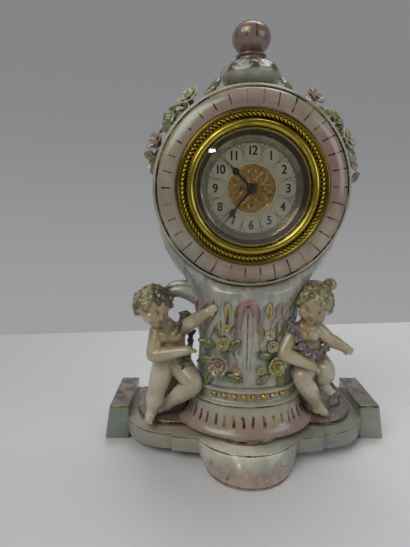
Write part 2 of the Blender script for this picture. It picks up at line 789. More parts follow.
def arc(middle, radius, first, last, steps, tall=None):
    return [(middle[0] + radius * math.cos(math.radians(first + (last - first) * i / steps)),
             middle[1] + (tall or radius) * math.sin(math.radians(first + (last - first) * i / steps)))
            for i in range(steps + 1)]


def curve_points(points, per):
    """A smooth path through points, with per points to each span."""
    out = []
    last = len(points) - 1
    for i in range(last):
        p = [points[max(0, min(last, i + k))] for k in (-1, 0, 1, 2)]
        for j in range(per):
            t = j / per
            out.append(0.5 * (2 * p[1] + (p[2] - p[0]) * t
                              + (2 * p[0] - 5 * p[1] + 4 * p[2] - p[3]) * t * t
                              + (3 * p[1] - p[0] - 3 * p[2] + p[3]) * t ** 3))
    return out + [points[last]]


def ball(place, radius, squash=(1, 1, 1), turn=(0, 0, 0)):
    """Adds one ball of clay, in millimetres."""
    bpy.ops.mesh.primitive_ico_sphere_add(subdivisions=2, radius=radius * MM,
                                          location=Vector(place) * MM, scale=squash, rotation=turn)


def clay(name, balls, voxel=None, smooth=6):
    """Presses balls of clay together into one smooth closed skin."""
    start()
    ball(*balls[0][:2])
    obj = settle(bpy.context.object)
    bpy.ops.object.mode_set(mode="EDIT")
    for one in balls:
        ball(*one)
    bpy.ops.object.mode_set(mode="OBJECT")
    obj.name = name
    modify(obj, "REMESH", mode="VOXEL", voxel_size=voxel or sizes().clay_voxel)
    if smooth:
        modify(obj, "SMOOTH", factor=0.5, iterations=smooth)
    return obj


def string(points, radii, per=6):
    """Balls along a smooth path, close enough to read as one limb."""
    path = curve_points([Vector(p) for p in points], per)
    wide = curve_points([Vector((r, 0, 0)) for r in radii], per)
    return [(p, r.x) for p, r in zip(path, wide)]


def tube(name, points, radius, closed=False, taper=None, rings=6):
    """A round bar that follows points, in millimetres."""
    start()
    data = bpy.data.curves.new(name, "CURVE")
    data.dimensions = "3D"
    data.bevel_depth = radius * MM
    data.bevel_resolution = max(1, rings // 2 - 1)
    data.use_fill_caps = not closed
    spline = data.splines.new("POLY")
    spline.points.add(len(points) - 1)
    for i, (point, at) in enumerate(zip(spline.points, points)):
        point.co = (*(Vector(at) * MM), 1.0)
        if taper:
            point.radius = taper(i / max(1, len(points) - 1))
    spline.use_cyclic_u = closed
    obj = bpy.data.objects.new(name, data)
    bpy.context.scene.collection.objects.link(obj)
    only(obj)
    bpy.ops.object.convert(target="MESH")
    return bpy.context.object


def copy_of(node, name):
    """A copy of a CAD node's mesh with its loose triangles merged."""
    obj = bpy.data.objects.new(name, NODES[node].data.copy())
    bpy.context.scene.collection.objects.link(obj)
    obj.hide_render = obj.hide_viewport = False
    return weld(obj, 5e-6, outward=False)


def rounded_copy(node, name, width, segments=3):
    """A CAD node's form with its sharp edges rounded as poured glaze rounds them."""
    obj = copy_of(node, name)
    edit_all(obj)
    bpy.ops.mesh.dissolve_limited(angle_limit=math.radians(1.0))
    edit_end()
    modify(obj, "BEVEL", width=width, segments=segments, limit_method="ANGLE",
           angle_limit=math.radians(32), use_clamp_overlap=True)
    return obj


def clay_copy(node, name, voxel, smooth):
    obj = copy_of(node, name)
    modify(obj, "REMESH", mode="VOXEL", voxel_size=voxel)
    modify(obj, "SMOOTH", factor=0.5, iterations=smooth)
    return obj


def keep_marks(obj, name, *columns):
    """Stores up to three values for each point as an attribute that the materials read."""
    empty = [0.0] * len(obj.data.vertices)
    columns = (list(columns) + [empty] * 3)[:3]
    attribute = obj.data.attributes.new(name, "FLOAT_COLOR", "POINT")
    attribute.data.foreach_set("color", [float(v) for row in zip(*columns) for v in (*row, 1.0)])


def leaf(name, path, across, width, lobes=0.0, lobe_count=5, camber=0.0, wall=0.9, rib=0.35,
         columns=10, rows=24, ripple=0.0):
    """A modelled leaf: path(t) and across(t) give its rib and its side direction."""
    def place(u, v):
        t, s = v, 2 * u - 1
        here = path(t)
        side = across(t).normalized()
        ahead = (path(min(1.0, t + 0.02)) - path(max(0.0, t - 0.02))).normalized()
        up = side.cross(ahead).normalized()
        w = width(t) * (1 - lobes * (0.5 + 0.5 * math.cos(TURN * lobe_count * t)) * abs(s) ** 2)
        lift = camber * (1 - s * s) - rib * math.exp(-(s / 0.16) ** 2)
        lift += ripple * math.sin(TURN * 3.2 * t + 1.3 * s) * abs(s)
        return here + side * (s * w) + up * lift

    obj, flat = grid_of(name, columns, rows, place)
    keep_marks(obj, "along", [v for _, v in flat], [abs(2 * u - 1) for u, _ in flat])
    modify(obj, "SOLIDIFY", thickness=wall * MM, offset=0.0)
    modify(obj, "SUBSURF", levels=1, render_levels=1)
    return obj


def points_and_edges(obj):
    """Places in metres, both ends of every edge, and what even_out divides by."""
    count = len(obj.data.vertices)
    co = np.empty(count * 3)
    obj.data.vertices.foreach_get("co", co)
    edges = np.empty(len(obj.data.edges) * 2, dtype=np.int64)
    obj.data.edges.foreach_get("vertices", edges)
    a, b = edges.reshape(-1, 2).T
    share = np.bincount(a, minlength=count) + np.bincount(b, minlength=count) + 1.0
    return co.reshape(-1, 3), a, b, share


def even_out(co, a, b, share):
    """Each point's mean with the points that it shares an edge with."""
    total = co.copy()
    for k in range(3):
        total[:, k] += np.bincount(a, co[b, k], len(co)) + np.bincount(b, co[a, k], len(co))
    return total / share[:, None]


def hollow_values(obj, passes, full):
    """0 to 1 for each point: how far it lies in a crease, where glaze pools."""
    co, a, b, share = points_and_edges(obj)
    co = co / MM
    normal = np.empty(len(co) * 3)
    obj.data.vertices.foreach_get("normal", normal)
    even = co.copy()
    for _ in range(passes):
        even = even_out(even, a, b, share)
    depth = ((even - co) * normal.reshape(-1, 3)).sum(1)
    return np.clip(depth / full, 0, 1)


def melt(obj, passes, wanted):
    """Softens a mesh where wanted(height in mm) asks for it, as thick glaze hides a joint."""
    co, a, b, share = points_and_edges(obj)
    weight = np.array([wanted(z / MM) for z in co[:, 2]])[:, None]
    for _ in range(passes):
        co = co * (1 - weight) + even_out(co, a, b, share) * weight
    obj.data.vertices.foreach_set("co", co.ravel())
    obj.data.update()


# Flowers and leaves
def facing_place(place, facing):
    """The frame of a flower or leaf at a place, with its own height along facing."""
    turn = Vector((0, 0, 1)).rotation_difference(Vector(facing)).to_matrix().to_4x4()
    return Matrix.Translation(Vector(place) * MM) @ turn


def petal_flower(place, facing, size, petals, spin, rng, cup=0.35, layers=1):
    """Cupped petals round a button, with a calyx behind. Returns petals, button and calyx."""
    put = facing_place(place, facing)
    made = []
    for layer in range(layers):
        reach = size * (1 - 0.38 * layer)
        for i in range(petals):
            turn = spin + TURN * (i + 0.5 * layer) / petals + rng.uniform(-0.08, 0.08)
            wide = reach * math.sin(math.pi / petals) * 1.12
            lift = cup * rng.uniform(0.8, 1.25) * (1 + 0.9 * layer)

            def path(t, reach=reach, lift=lift, layer=layer):
                return Vector((reach * (0.12 + 0.88 * t), 0,
                               reach * lift * t ** 2 - 0.25 * reach * max(0, t - 0.75)
                               + 0.25 * layer))

            one = leaf("petal", path, lambda t: Vector((0, 1, 0)),
                       lambda t, w=wide: w * math.sin(math.pi * min(1, 0.16 + 0.74 * t)) ** 0.7,
                       camber=-0.12 * size * 0.6, wall=max(0.45, size * 0.11), rib=-0.1,
                       columns=4, rows=5, ripple=0.04 * size)
            one.data.transform(put @ Matrix.Rotation(turn, 4, "Z"))
            made.append(one)
    button = clay("button", [((0, 0, size * 0.12), size * 0.24, (1, 1, 0.75))]
                  + [((size * 0.16 * math.cos(a), size * 0.16 * math.sin(a), size * 0.22), size * 0.08)
                     for a in [TURN * k / 7 for k in range(7)]], voxel=0.0003, smooth=1)
    button.data.transform(put)
    calyx = clay("calyx", string([(0, 0, -size * 0.14), (0, 0, -size * 0.4), (0, 0, -size * 0.8)],
                                 [size * 0.28, size * 0.26, size * 0.2], 4), voxel=0.0004, smooth=2)
    calyx.data.transform(put)
    return made, button, calyx


def spray_leaf(place, facing, length, spin, rng, bend=0.3):
    put = facing_place(place, facing) @ Matrix.Rotation(spin, 4, "Z")
    sway = rng.uniform(-0.15, 0.15)

    def path(t):
        return Vector((length * t, length * sway * t * t,
                       length * bend * (t - t * t) + length * 0.12 * t))

    one = leaf("leaf", path, lambda t: Vector((0, 1, 0)),
               lambda t: length * 0.27 * math.sin(math.pi * min(1, 0.08 + 0.9 * t)) ** 0.75 + 0.05,
               lobes=0.16, lobe_count=4, camber=-0.08 * length, wall=0.6, rib=0.28, columns=6,
               rows=12, ripple=0.03 * length)
    one.data.transform(put)
    return one


def flower_spray(name, flowers, leaves, node, rng, palette):
    """Builds one node's flowers: petals by colour, buttons, calyxes and leaves, each one piece."""
    by_shade, buttons, greens = {}, [], []
    for at, facing, size, petals, shade, layers in flowers:
        parts, button, calyx = petal_flower(at, facing, size, petals, rng.uniform(0, 1), rng,
                                            cup=rng.uniform(0.25, 0.45), layers=layers)
        by_shade.setdefault(shade, []).extend(parts)
        buttons.append(button)
        greens.append(calyx)
    for at, facing, length, spin in leaves:
        greens.append(spray_leaf(at, facing, length, spin, rng))
    piece(greens, name + "_leaves", palette["green"], stands_for=(node,), angle=60)
    piece(buttons, name + "_buttons", palette["button"], angle=60)
    for shade, parts in by_shade.items():
        piece(parts, name + "_" + shade, palette[shade], angle=60)


def drum_spot(angle, y, out):
    """A place on the drum's side, and the direction outward and partly forward from it."""
    a = math.radians(angle)
    reach = DRUM_REACH + out
    at = Vector((reach * math.cos(a), y, AXIS_H + reach * math.sin(a)))
    outward = Vector((at.x, 0, at.z - AXIS_H)).normalized()
    return at, (outward + Vector((0, -0.75, 0))).normalized()


def column_front(x, z, out):
    wide = 28.5 + 7.0 * max(0.0, (z - 70) / 36) ** 2
    y = COLUMN_Y - wide * COLUMN_SQUASH * math.sqrt(max(0.05, 1 - (x / (wide * 1.06)) ** 2))
    return Vector((x, y - out, z))


def flower_palette():
    rose_petals = leaf_shape_paint((0.40, 0.25, 0.21), (0.42, 0.38, 0.29))
    cream = leaf_shape_paint((0.44, 0.41, 0.27), (0.36, 0.31, 0.13))
    yellow = leaf_shape_paint((0.38, 0.34, 0.11), (0.30, 0.23, 0.05))
    orange = leaf_shape_paint((0.42, 0.18, 0.06), (0.42, 0.30, 0.12))
    green = leaf_shape_paint(colour("leaf")[:3], (0.17, 0.18, 0.065))
    return {
        "rose": glazed("petal_rose", rose_petals, leaf_shape_gold(0.1, 0.35), 0.25, 120.0),
        "cream": glazed("petal_cream", cream, leaf_shape_gold(0.08, 0.25), 0.25, 120.0),
        "yellow": glazed("petal_yellow", yellow, None, 0.2, 120.0),
        "orange": glazed("petal_orange", orange, None, 0.2, 120.0),
        "green": glazed("leaf_green", green, leaf_shape_gold(0.1, 0.2), 0.35, 90.0),
        "button": glazed("flower_button", flecked((0.09, 0.02, 0.015), (0.40, 0.24, 0.05), 600.0, 2.0),
                         None, 0.1, 200.0),
    }


class CLOCK_OT_flowers(bpy.types.Operator):
    """Models the applied flowers and leaves on the drum and the column"""
    bl_idname = "clock.flowers"
    bl_label = "Flowers"

    def execute(self, context):
        rng = random.Random(41)
        palette = flower_palette()

        def on_drum(angle, y, out, size, petals, shade, layers=1):
            return (*drum_spot(angle, y, out), size, petals, shade, layers)

        def leaf_on_drum(angle, y, length, spin):
            return (*drum_spot(angle, y, 0.4), length, spin)

        flower_spray("drum_flowers_left_model",
                     [on_drum(125, -1, 4.6, 7.0, 5, "cream", 2),
                      on_drum(154, -1, 2.6, 6.4, 5, "rose", 2),
                      on_drum(138, 0, 2.8, 5.4, 5, "yellow", 2), on_drum(166, 3, 1.2, 4.2, 5, "cream"),
                      on_drum(131, 4, 2.4, 4.6, 5, "cream")],
                     [leaf_on_drum(113, -2, 12.0, 0.9), leaf_on_drum(117, -3, 11.0, 0.3),
                      leaf_on_drum(129, -3, 12.0, 2.6), leaf_on_drum(134, -4, 11.0, -1.6),
                      leaf_on_drum(144, -2, 12.0, 1.5), leaf_on_drum(147, -3, 11.0, 0.3),
                      leaf_on_drum(162, -1, 11.0, 1.9), leaf_on_drum(171, 0, 11.0, 0.2),
                      leaf_on_drum(120, 5, 10.0, -2.2), leaf_on_drum(156, 5, 10.0, 3.6),
                      leaf_on_drum(140, -2, 10.0, 3.3)],
                     "drum_flowers_left", rng, palette)
        flower_spray("drum_flowers_right_model",
                     [on_drum(55, -2, 4.6, 6.4, 5, "rose", 2), on_drum(40, -3, 3.4, 5.4, 5, "yellow", 2),
                      on_drum(27, -3, 4.2, 6.8, 5, "cream", 2), on_drum(14, -3, 3.2, 5.2, 5, "rose"),
                      on_drum(47, 3, 2.4, 4.2, 5, "yellow"), on_drum(33, 1, 3.0, 4.6, 5, "cream")],
                     [leaf_on_drum(67, -2, 12.0, 2.4), leaf_on_drum(61, -4, 11.0, -0.8),
                      leaf_on_drum(47, -5, 12.0, 0.4), leaf_on_drum(34, -5, 11.5, 1.4),
                      leaf_on_drum(20, -5, 11.5, -1.2), leaf_on_drum(5, -4, 11.5, 1.2),
                      leaf_on_drum(33, 4, 10.0, 2.9), leaf_on_drum(12, -2, 10.0, -2.4),
                      leaf_on_drum(41, -3, 11.5, -2.2), leaf_on_drum(25, -5, 10.0, 0.2)],
                     "drum_flowers_right", rng, palette)

        def on_column(x, z, size, petals, shade, layers=1, out=3.0):
            return (column_front(x, z, out), (x * 0.02, -1, 0.1), size, petals, shade, layers)

        def leaf_on_column(x, z, length, spin, out=1.3):
            return (column_front(x, z, out), (x * 0.02, -1, 0.1), length, math.radians(spin))

        flower_spray("column_flowers_left_model",
                     [on_column(-18.0, 60.8, 6.9, 8, "rose", 2, 4.4),
                      on_column(-15.5, 74.0, 4.0, 5, "yellow", 2),
                      on_column(-7.0, 57.5, 2.6, 5, "orange"), on_column(-13.5, 84.5, 2.2, 5, "yellow")],
                     [leaf_on_column(-20.0, 71.5, 11.0, 150), leaf_on_column(-13.0, 69.5, 11.0, 20),
                      leaf_on_column(-21.0, 56.5, 11.5, 215), leaf_on_column(-14.5, 54.5, 12.0, -35),
                      leaf_on_column(-22.5, 63.0, 9.5, 175), leaf_on_column(-17.0, 78.0, 6.0, 110)],
                     "column_flowers_left", rng, palette)
        flower_spray("column_flowers_right_model",
                     [on_column(17.0, 60.0, 6.0, 5, "yellow", 2, 3.8),
                      on_column(14.0, 72.5, 3.6, 5, "cream", 2), on_column(12.0, 80.0, 3.0, 5, "cream"),
                      on_column(7.5, 57.5, 2.4, 5, "yellow")],
                     [leaf_on_column(14.0, 66.0, 10.5, 190), leaf_on_column(19.0, 55.0, 12.0, -60),
                      leaf_on_column(19.5, 66.0, 11.0, 40), leaf_on_column(12.5, 54.5, 10.0, 230),
                      leaf_on_column(16.5, 78.0, 6.0, 60)],
                     "column_flowers_right", rng, palette)
        return {"FINISHED"}


# Base and column
class CLOCK_OT_base(bpy.types.Operator):
    """Rounds the plinth, its feet and the terrace, and models the rocky mounds"""
    bl_idname = "clock.base"
    bl_label = "Base"

    def execute(self, context):
        edge = sizes().edge_round
        piece(rounded_copy("plinth", "plinth_model", edge), "plinth_model",
              glazed("glaze_plinth", plinth_paint, plinth_gold, 0.75, 24.0),
              stands_for=("plinth",))
        for side in ("left", "right"):
            node = "rear_foot_" + side
            piece(rounded_copy(node, node + "_model", edge), node + "_model",
                  glazed("glaze_rear_foot", rear_foot_paint, rear_foot_gold, 0.8, 30.0),
                  stands_for=(node,))
        piece(rounded_copy("terrace", "terrace_model", edge), "terrace_model",
              glazed("glaze_terrace", terrace_paint, terrace_gold, 0.5, 36.0),
              stands_for=("terrace",))
        rocks = clay_copy("mounds", "mounds_model", 0.0009, 6)
        for vertex in rocks.data.vertices:
            p = vertex.co
            rise = min(1.0, max(0.0, (p.z - 0.0198) / 0.003))
            push = noise.noise(p * 160) * 0.0014 + noise.noise(p * 420) * 0.0005
            vertex.co = p + vertex.normal * (push * rise - 0.0003 * rise)
        piece(rocks, "mounds_model", glazed("glaze_rock", rock_paint, None, 0.45, 60.0),
              stands_for=("mounds",))
        return {"FINISHED"}


def mirrored(strokes, middle):
    return strokes + [[(2 * middle - x, z, r) for x, z, r in stroke] for stroke in strokes]


def relief(name, strokes, span, middle, half, lift=0.8):
    """Soft rolls of clay pressed on the column's front: strokes hold side place, height and radius."""
    balls = []
    for stroke in strokes:
        for at, r in string([column_front(x, z, lift) for x, z, _ in stroke], [r for _, _, r in stroke]):
            balls.append((at, r, (1, 0.62, 1)))
    obj = clay(name, balls, voxel=0.0006, smooth=2)
    points = [vertex.co / MM for vertex in obj.data.vertices]
    keep_marks(obj, "along", [(p.z - span[0]) / (span[1] - span[0]) for p in points],
               [min(1.0, abs(p.x - middle) / half) for p in points], hollow_values(obj, 10, 0.3))
    return obj


def corner_scroll(side):
    """The fat leaf that rolls outwards at an upper corner of the column."""
    line = [(26, 96.5), (33, 101), (40, 103.8), (46, 103.4), (49.4, 100.2), (49.6, 97.2)]
    balls = string([(side * x, COLUMN_Y - 1, z) for x, z in line], [6.6, 6.4, 6.0, 5.1, 3.8, 2.4], 6)
    obj = clay("scroll", [(at, r, (1, 1.15, 1)) for at, r in balls], voxel=0.0008, smooth=3)
    path = curve_points([Vector((side * x, COLUMN_Y - 1, z)) for x, z in line], 6)
    marks = []
    for vertex in obj.data.vertices:
        p = vertex.co / MM
        near = min(range(len(path)), key=lambda k: (p - path[k]).length)
        off = p - path[near]
        turn = math.atan2(off.z, -off.y)
        vertex.co += off.normalized() * (0.55 * math.cos(5 * turn) - 0.2) * MM
        marks.append((near / (len(path) - 1), abs(math.sin(2.5 * turn))))
    keep_marks(obj, "along", *zip(*marks))
    return obj


class CLOCK_OT_column(bpy.types.Operator):
    """Models the flared foot, the beads, the fluted column and its acanthus leaves"""
    bl_idname = "clock.column"
    bl_label = "Column"

    def execute(self, context):
        flare = [(44 - 8.5 * math.sin(math.radians(a)), 19.5 + 16.5 * (1 - math.cos(math.radians(a))))
                 for a in range(4, 91, 5)]
        profile = ([(0, 19.5), (44, 19.5)] + flare
                   + arc((35.3, 37.0), 1.0, -60, 80, 6)
                   + [(33.6, 38.7), (32.9, 39.6), (32.6, 41.5), (32.6, 43.6)]
                   + arc((33.0, 45.0), 1.0, -50, 90, 5) + [(31.0, 46.0), (0, 46.0)])
        foot = turned("foot", profile, 128, (0, COLUMN_Y), FOOT_SQUASH,
                      shape=lambda a, r, h: 0.35 * math.cos(22 * a) if 24 < h < 33 and r > 30 else 0.0)
        piece(foot, "column_foot_model", glazed("glaze_foot", foot_paint, foot_gold, 0.55, 40.0),
              stands_for=("column_foot",), angle=50)

        start()
        beads = []
        for i in range(8):
            x = (i - 3.5) * BEAD_GAP
            y = COLUMN_Y - FOOT_REACH * FOOT_SQUASH * math.sqrt(1 - (x / FOOT_REACH) ** 2) - 0.66
            middle = Vector((x, y, BEAD_H)) * MM
            bpy.ops.mesh.primitive_uv_sphere_add(segments=20, ring_count=12, radius=1.85 * MM,
                                                 location=middle)
            bead = settle(bpy.context.object)
            for vertex in bead.data.vertices:
                off = vertex.co - middle
                vertex.co += off.normalized() * noise.noise(vertex.co * 700) * 0.00012
            beads.append(bead)
        piece(beads, "gilt_beads_model",
              metal("gilding_beads", (0.62, 0.4, 0.1, 1), (0.12, 0.06, 0.02, 1), 0.45, 0.2, 300.0),
              stands_for=("gilt_beads",), angle=80)

        column = clay_copy("column", "column_model", 0.0008, 5)
        flutes = sizes().flute_count
        for vertex in column.data.vertices:
            p = vertex.co / MM
            out = Vector((p.x, (p.y - COLUMN_Y) / COLUMN_SQUASH, 0))
            if out.length < 20 or not FLUTES_FROM < p.z < FLUTES_TO:
                continue
            ends = min(1.0, (p.z - FLUTES_FROM) / 8, (FLUTES_TO - p.z) / 10)
            turn = math.atan2(out.y, out.x)
            depth = 1.0 * (0.5 - 0.5 * math.cos(flutes * turn)) ** 0.8 * ends
            swell = noise.noise(Vector((p.x * 0.16, p.y * 0.16, p.z * 0.055 + 7))) * 1.1
            swell += noise.noise(Vector((p.x * 0.34, p.y * 0.34, p.z * 0.12))) * 0.5
            vertex.co -= out.normalized() * (depth * 0.6 - swell * ends) * MM
        melt(column, 70, lambda z: (min(1.0, max(0.0, (z - 97) / 5))
                                    * min(1.0, max(0.0, (116 - z) / 4))))
        keep_marks(column, "pool", hollow_values(column, 8, 0.3))
        piece(column, "column_model", glazed("glaze_column", column_paint, column_gold, 0.7, 32.0),
              stands_for=("column",))

        rose = glazed("leaf_rose", contoured(leaf_shape_paint((0.35, 0.185, 0.165), (0.45, 0.425, 0.39)),
                                             (0.08, 0.045, 0.05)),
                      leaf_shape_gold(0.09, 0.55), 0.45, 60.0)
        white = glazed("leaf_white", leaf_shape_paint((0.43, 0.405, 0.33), (0.25, 0.28, 0.26)),
                       leaf_shape_gold(0.06, 0.5), 0.55, 60.0)
        mid = -1.3
        hood = mirrored([[(-7.2, 82, 1.6), (-7.0, 90, 2.4), (-5.9, 96.4, 2.5), (-3.4, 99.8, 2.3),
                          (-1.3, 100.6, 2.1)],
                         [(-6, 88, 1.8), (-9.6, 82.5, 2.2), (-10.2, 78, 1.8), (-7.5, 74, 1.4)],
                         [(-4.5, 78, 1.6), (-7.6, 72, 2.0), (-7.8, 67.5, 1.6), (-5.2, 64, 1.2)],
                         [(-3, 68, 1.4), (-5.2, 62, 1.6), (-5.0, 57.5, 1.2), (-3, 54.5, 1.0)]], mid)
        hood += [[(mid, 95.6, 1.9), (mid, 92.0, 2.9), (mid, 86, 3.4), (mid, 80, 3.9), (mid, 70, 3.4),
                  (mid, 60, 2.2), (mid, 52, 1.4)]]
        hood += [[(mid + side * 2.4, 86, 1.0), (mid + side * 2.6, 80, 1.7), (mid + side * 2.2, 70, 1.5),
                  (mid + side * 1.4, 60, 1.1)] for side in (-1, 1)]
        left = [[(-27.5, 83, 1.4), (-27.3, 90, 2.3), (-26.2, 96, 2.7), (-25, 100, 2.3)],
                [(-27.5, 90, 1.6), (-30.6, 94.5, 2.1), (-31, 98, 1.6)],
                [(-26, 92, 1.6), (-22.8, 96, 2.0), (-21.6, 99.4, 1.6)]]
        right = [[(12, 82, 1.4), (15, 88, 2.2), (19.5, 94.5, 2.7), (23.5, 100.2, 2.2)],
                 [(16, 90, 1.4), (16.6, 94.5, 1.9), (18.2, 98.6, 1.5)],
                 [(18, 90, 1.4), (22.5, 92.5, 1.9), (26, 96.5, 1.6)]]
        rosy = [relief("mid", hood, (52, 101), mid, 6.6), relief("left", left, (70, 101), -26.5, 5),
                relief("right", right, (70, 101), 19, 6)]
        drops = [relief("drop_left", [[(-13, 87, 1.3), (-13, 92, 2.3), (-13, 96.5, 2.9),
                                       (-13, 99.5, 2.2)]], (74, 101), -13, 3.2),
                 relief("drop_right", [[(11.2, 87, 1.3), (11.2, 92, 2.1), (11.2, 96, 2.7),
                                        (11.2, 99, 2.0)]], (74, 101), 11.2, 3.0)]
        pale = [relief("rolls_left", [[(-24, 74, 1.8), (-22.6, 81, 2.7), (-19.8, 88, 2.6),
                                       (-18, 93, 1.7)],
                                      [(-16.5, 76, 1.5), (-16.2, 82, 2.2), (-17.5, 88, 1.8)],
                                      [(-11.5, 62, 1.4), (-10.6, 70, 2.0), (-11.8, 78, 2.3),
                                       (-12.6, 85, 1.6)],
                                      [(-24, 48, 2.0), (-25, 56, 2.4), (-26.5, 64, 2.0), (-27, 72, 1.6)],
                                      [(-6.5, 47.5, 1.6), (-8.5, 52, 1.8), (-8.8, 57, 1.3)]],
                       (40, 100), -17, 12),
                relief("rolls_right", [[(10.4, 64, 1.4), (9.8, 72, 2.0), (10.4, 79, 2.2), (11, 85, 1.5)],
                                       [(17, 72, 1.6), (18.4, 79, 2.3), (17, 86, 1.8)],
                                       [(24, 70, 1.8), (26.4, 78, 2.4), (27.5, 86, 2.0)],
                                       [(24.5, 48, 2.0), (25.5, 56, 2.4), (26.8, 64, 1.8)],
                                       [(4.5, 47.5, 1.6), (6.3, 52, 1.8), (6.6, 57, 1.3)]],
                       (40, 100), 17, 12)]
        piece(rosy, "acanthus_rose", rose, stands_for=("acanthus_leaves",), angle=60)
        piece(drops, "acanthus_drops",
              glazed("leaf_drop", drop_paint, leaf_shape_gold(0.3, 0.1), 0.3, 60.0),
              angle=60)
        piece(pale, "acanthus_white", white, angle=60)
        piece([corner_scroll(-1), corner_scroll(1)], "scroll_leaves_model", rose,
              stands_for=("scroll_leaves",), angle=60)
        return {"FINISHED"}


# Drum and finial
class CLOCK_OT_drum(bpy.types.Operator):
    """Turns the drum, the finial's bulb and the ball"""
    bl_idname = "clock.drum"
    bl_label = "Drum"

    def execute(self, context):
        front = [(42.2, 16.5)] + [
            (42.2 + 11.2 * i / 12, 16.5 - 1.8 * i / 12 + 2.0 * math.sin(math.pi * i / 12) ** 0.8)
            for i in range(1, 12)]
        rim = [(53.3, 14.7), (53.6, 14.35), (54.0, 14.5)]
        rim += arc((53.6, 12.3), 2.4, 72, 0, 8)
        side = [(56 + 2 * math.sin(math.pi * t) if t < 0.5 else 54 + 4 * math.sin(math.pi * t),
                 11.5 - 40.5 * t) for t in [i / 14 for i in range(1, 14)]]
        back = [(54.0, -29.0)] + arc((51.4, -29.4), 2.6, -10, -80, 4) + [(50.6, -32.0)]
        profile = ([(32.8, 16.5), (37.5, 16.5)] + front + rim + side + back
                   + [(41.0, -32.0), (38.6, -31.7), (38.0, -32.0), (32.8, -32.0)])
        drum = turned("drum", profile, 160, facing=True)
        piece(drum, "drum_model", glazed("glaze_drum", drum_paint, drum_gold, 0.55, 26.0),
              stands_for=("drum_case",), angle=50)

        def petals(a, r, h):
            """Oval cushions round the bulb, with hollows between."""
            near = math.cos(BULB_LOBES * (a + math.pi / 2))
            tall = math.exp(-((h - 232.6) / 2.7) ** 2)
            return (1.2 * near - 0.9) * tall

        # the bulb rises from inside the drum, so its lowest ring starts there
        bulb = [(0, 216.5), (12.8, 216.5), (13.0, 218), (13.3, 218.7), (12.9, 219.6), (12.4, 220.4)]
        bulb += arc((0, 228.9), 17.4, -50, 62, 24, tall=8.9)
        bulb += [(7.9, 237.6), (7.4, 238.0), (7.4, 238.6), (0, 238.6)]
        obj = turned("bulb", bulb, 160, (0, COLUMN_Y), shape=petals)
        piece(obj, "finial_bulb_model", glazed("glaze_bulb", bulb_paint, bulb_gold, 0.6, 60.0),
              stands_for=("finial_bulb",), angle=60)

        ring = [(0, 238.6), (8.0, 238.6)] + arc((8.3, 239.1), 0.5, -80, 80, 6) + [(7.6, 239.7)]
        ring += arc((0, 248.8), 11.1, -58, 90, 20, tall=9.2)
        obj = turned("ball", ring, 72, (0, COLUMN_Y))
        piece(obj, "finial_ball_model", glazed("glaze_ball", ball_paint, ball_gold, 0.4, 60.0),
              stands_for=("finial_ball",), angle=60)
        return {"FINISHED"}


# Figures
def figure_places(at, shares):
    return [at + Vector(s) * FIGURE_H for s in shares]


def limb(a, b, c, ra, rb, rc, swell):
    """Upper part, joint and lower part with a little flesh on each."""
    points = [a, a.lerp(b, 0.5), b, b.lerp(c, 0.35), b.lerp(c, 0.75), c]
    radii = [ra, (ra + rb) / 2 * 1.05, rb * 0.96, rb * swell, rc * 1.12, rc]
    return string(points, radii, 5)


def hand_clay(elbow, wrist, palm_side, size):
    """Palm, four curled fingers and a thumb."""
    ahead = (wrist - elbow).normalized()
    side = ahead.cross(Vector(palm_side)).normalized()
    down = side.cross(ahead).normalized()
    balls = [(wrist + ahead * size * 0.4, size * 0.95, (1, 1, 1))]
    for k in range(4):
        root = wrist + ahead * size * 0.9 + side * size * (k - 1.5) * 0.42
        tip = root + ahead * size * (1.25 - 0.12 * abs(k - 1.4)) - down * size * 0.55
        balls += string([root, root.lerp(tip, 0.6) + down * size * 0.1, tip],
                        [size * 0.27, size * 0.25, size * 0.21], 4)
    thumb = wrist + ahead * size * 0.3 + side * size * 0.8
    balls += string([thumb, thumb + ahead * size * 0.7 + side * size * 0.35],
                    [size * 0.3, size * 0.24], 4)
    return balls


def foot_clay(ankle, toe, size):
    """Heel, sole and five toes."""
    ahead = Vector((toe.x - ankle.x, toe.y - ankle.y, 0)).normalized()
    side = Vector((-ahead.y, ahead.x, 0))
    balls = string([ankle, ankle.lerp(toe, 0.6), toe], [size, size * 0.92, size * 0.8], 4)
    balls.append((ankle - ahead * size * 0.45 - Vector((0, 0, size * 0.3)), size * 0.85))
    for k in range(5):
        at = toe + ahead * size * (0.62 - 0.09 * k) + side * size * (0.62 - 0.33 * k)
        balls.append((at - Vector((0, 0, size * 0.2)), size * (0.36 - 0.04 * k)))
    return balls


def head_frame(place, turn):
    """put(x, y, z) gives a place on a turned head from its own side, front and height."""
    rotation = Euler([math.radians(a) for a in turn], "XYZ").to_matrix()
    return lambda x, y, z: place + rotation @ Vector((x, y, z)) * HEAD


def grown(balls):
    """Balls of clay that grow with the head's size."""
    return [(one[0], one[1] * HEAD, *one[2:]) for one in balls]


def head_clay(put):
    """A calm child's head: skull, brow, full cheeks, small nose, lips and chin."""
    balls = [(put(0, 0.4, 1.0), 9.1), (put(0, -2.4, -2.2), 7.4), (put(0, -1.5, 2.0), 8.4)]
    for side in (-1, 1):
        balls += [(put(side * 3.9, -5.2, -3.5), 3.7), (put(side * 8.7, 0.3, -1.6), 1.7),
                  (put(side * 3.3, -8.15, 1.6), 1.25), (put(side * 1.0, -9.5, -3.1), 0.62)]
    balls += [(put(0, -6.5, -6.9), 2.5), (put(0, -9.95, -2.7), 0.95), (put(0, -9.4, -1.5), 0.75),
              (put(0, -8.95, -0.3), 0.75), (put(0, -8.5, -4.9), 1.15), (put(0, -8.1, -5.9), 1.1),
              (put(0, -7.9, 3.2), 1.6)]
    return balls


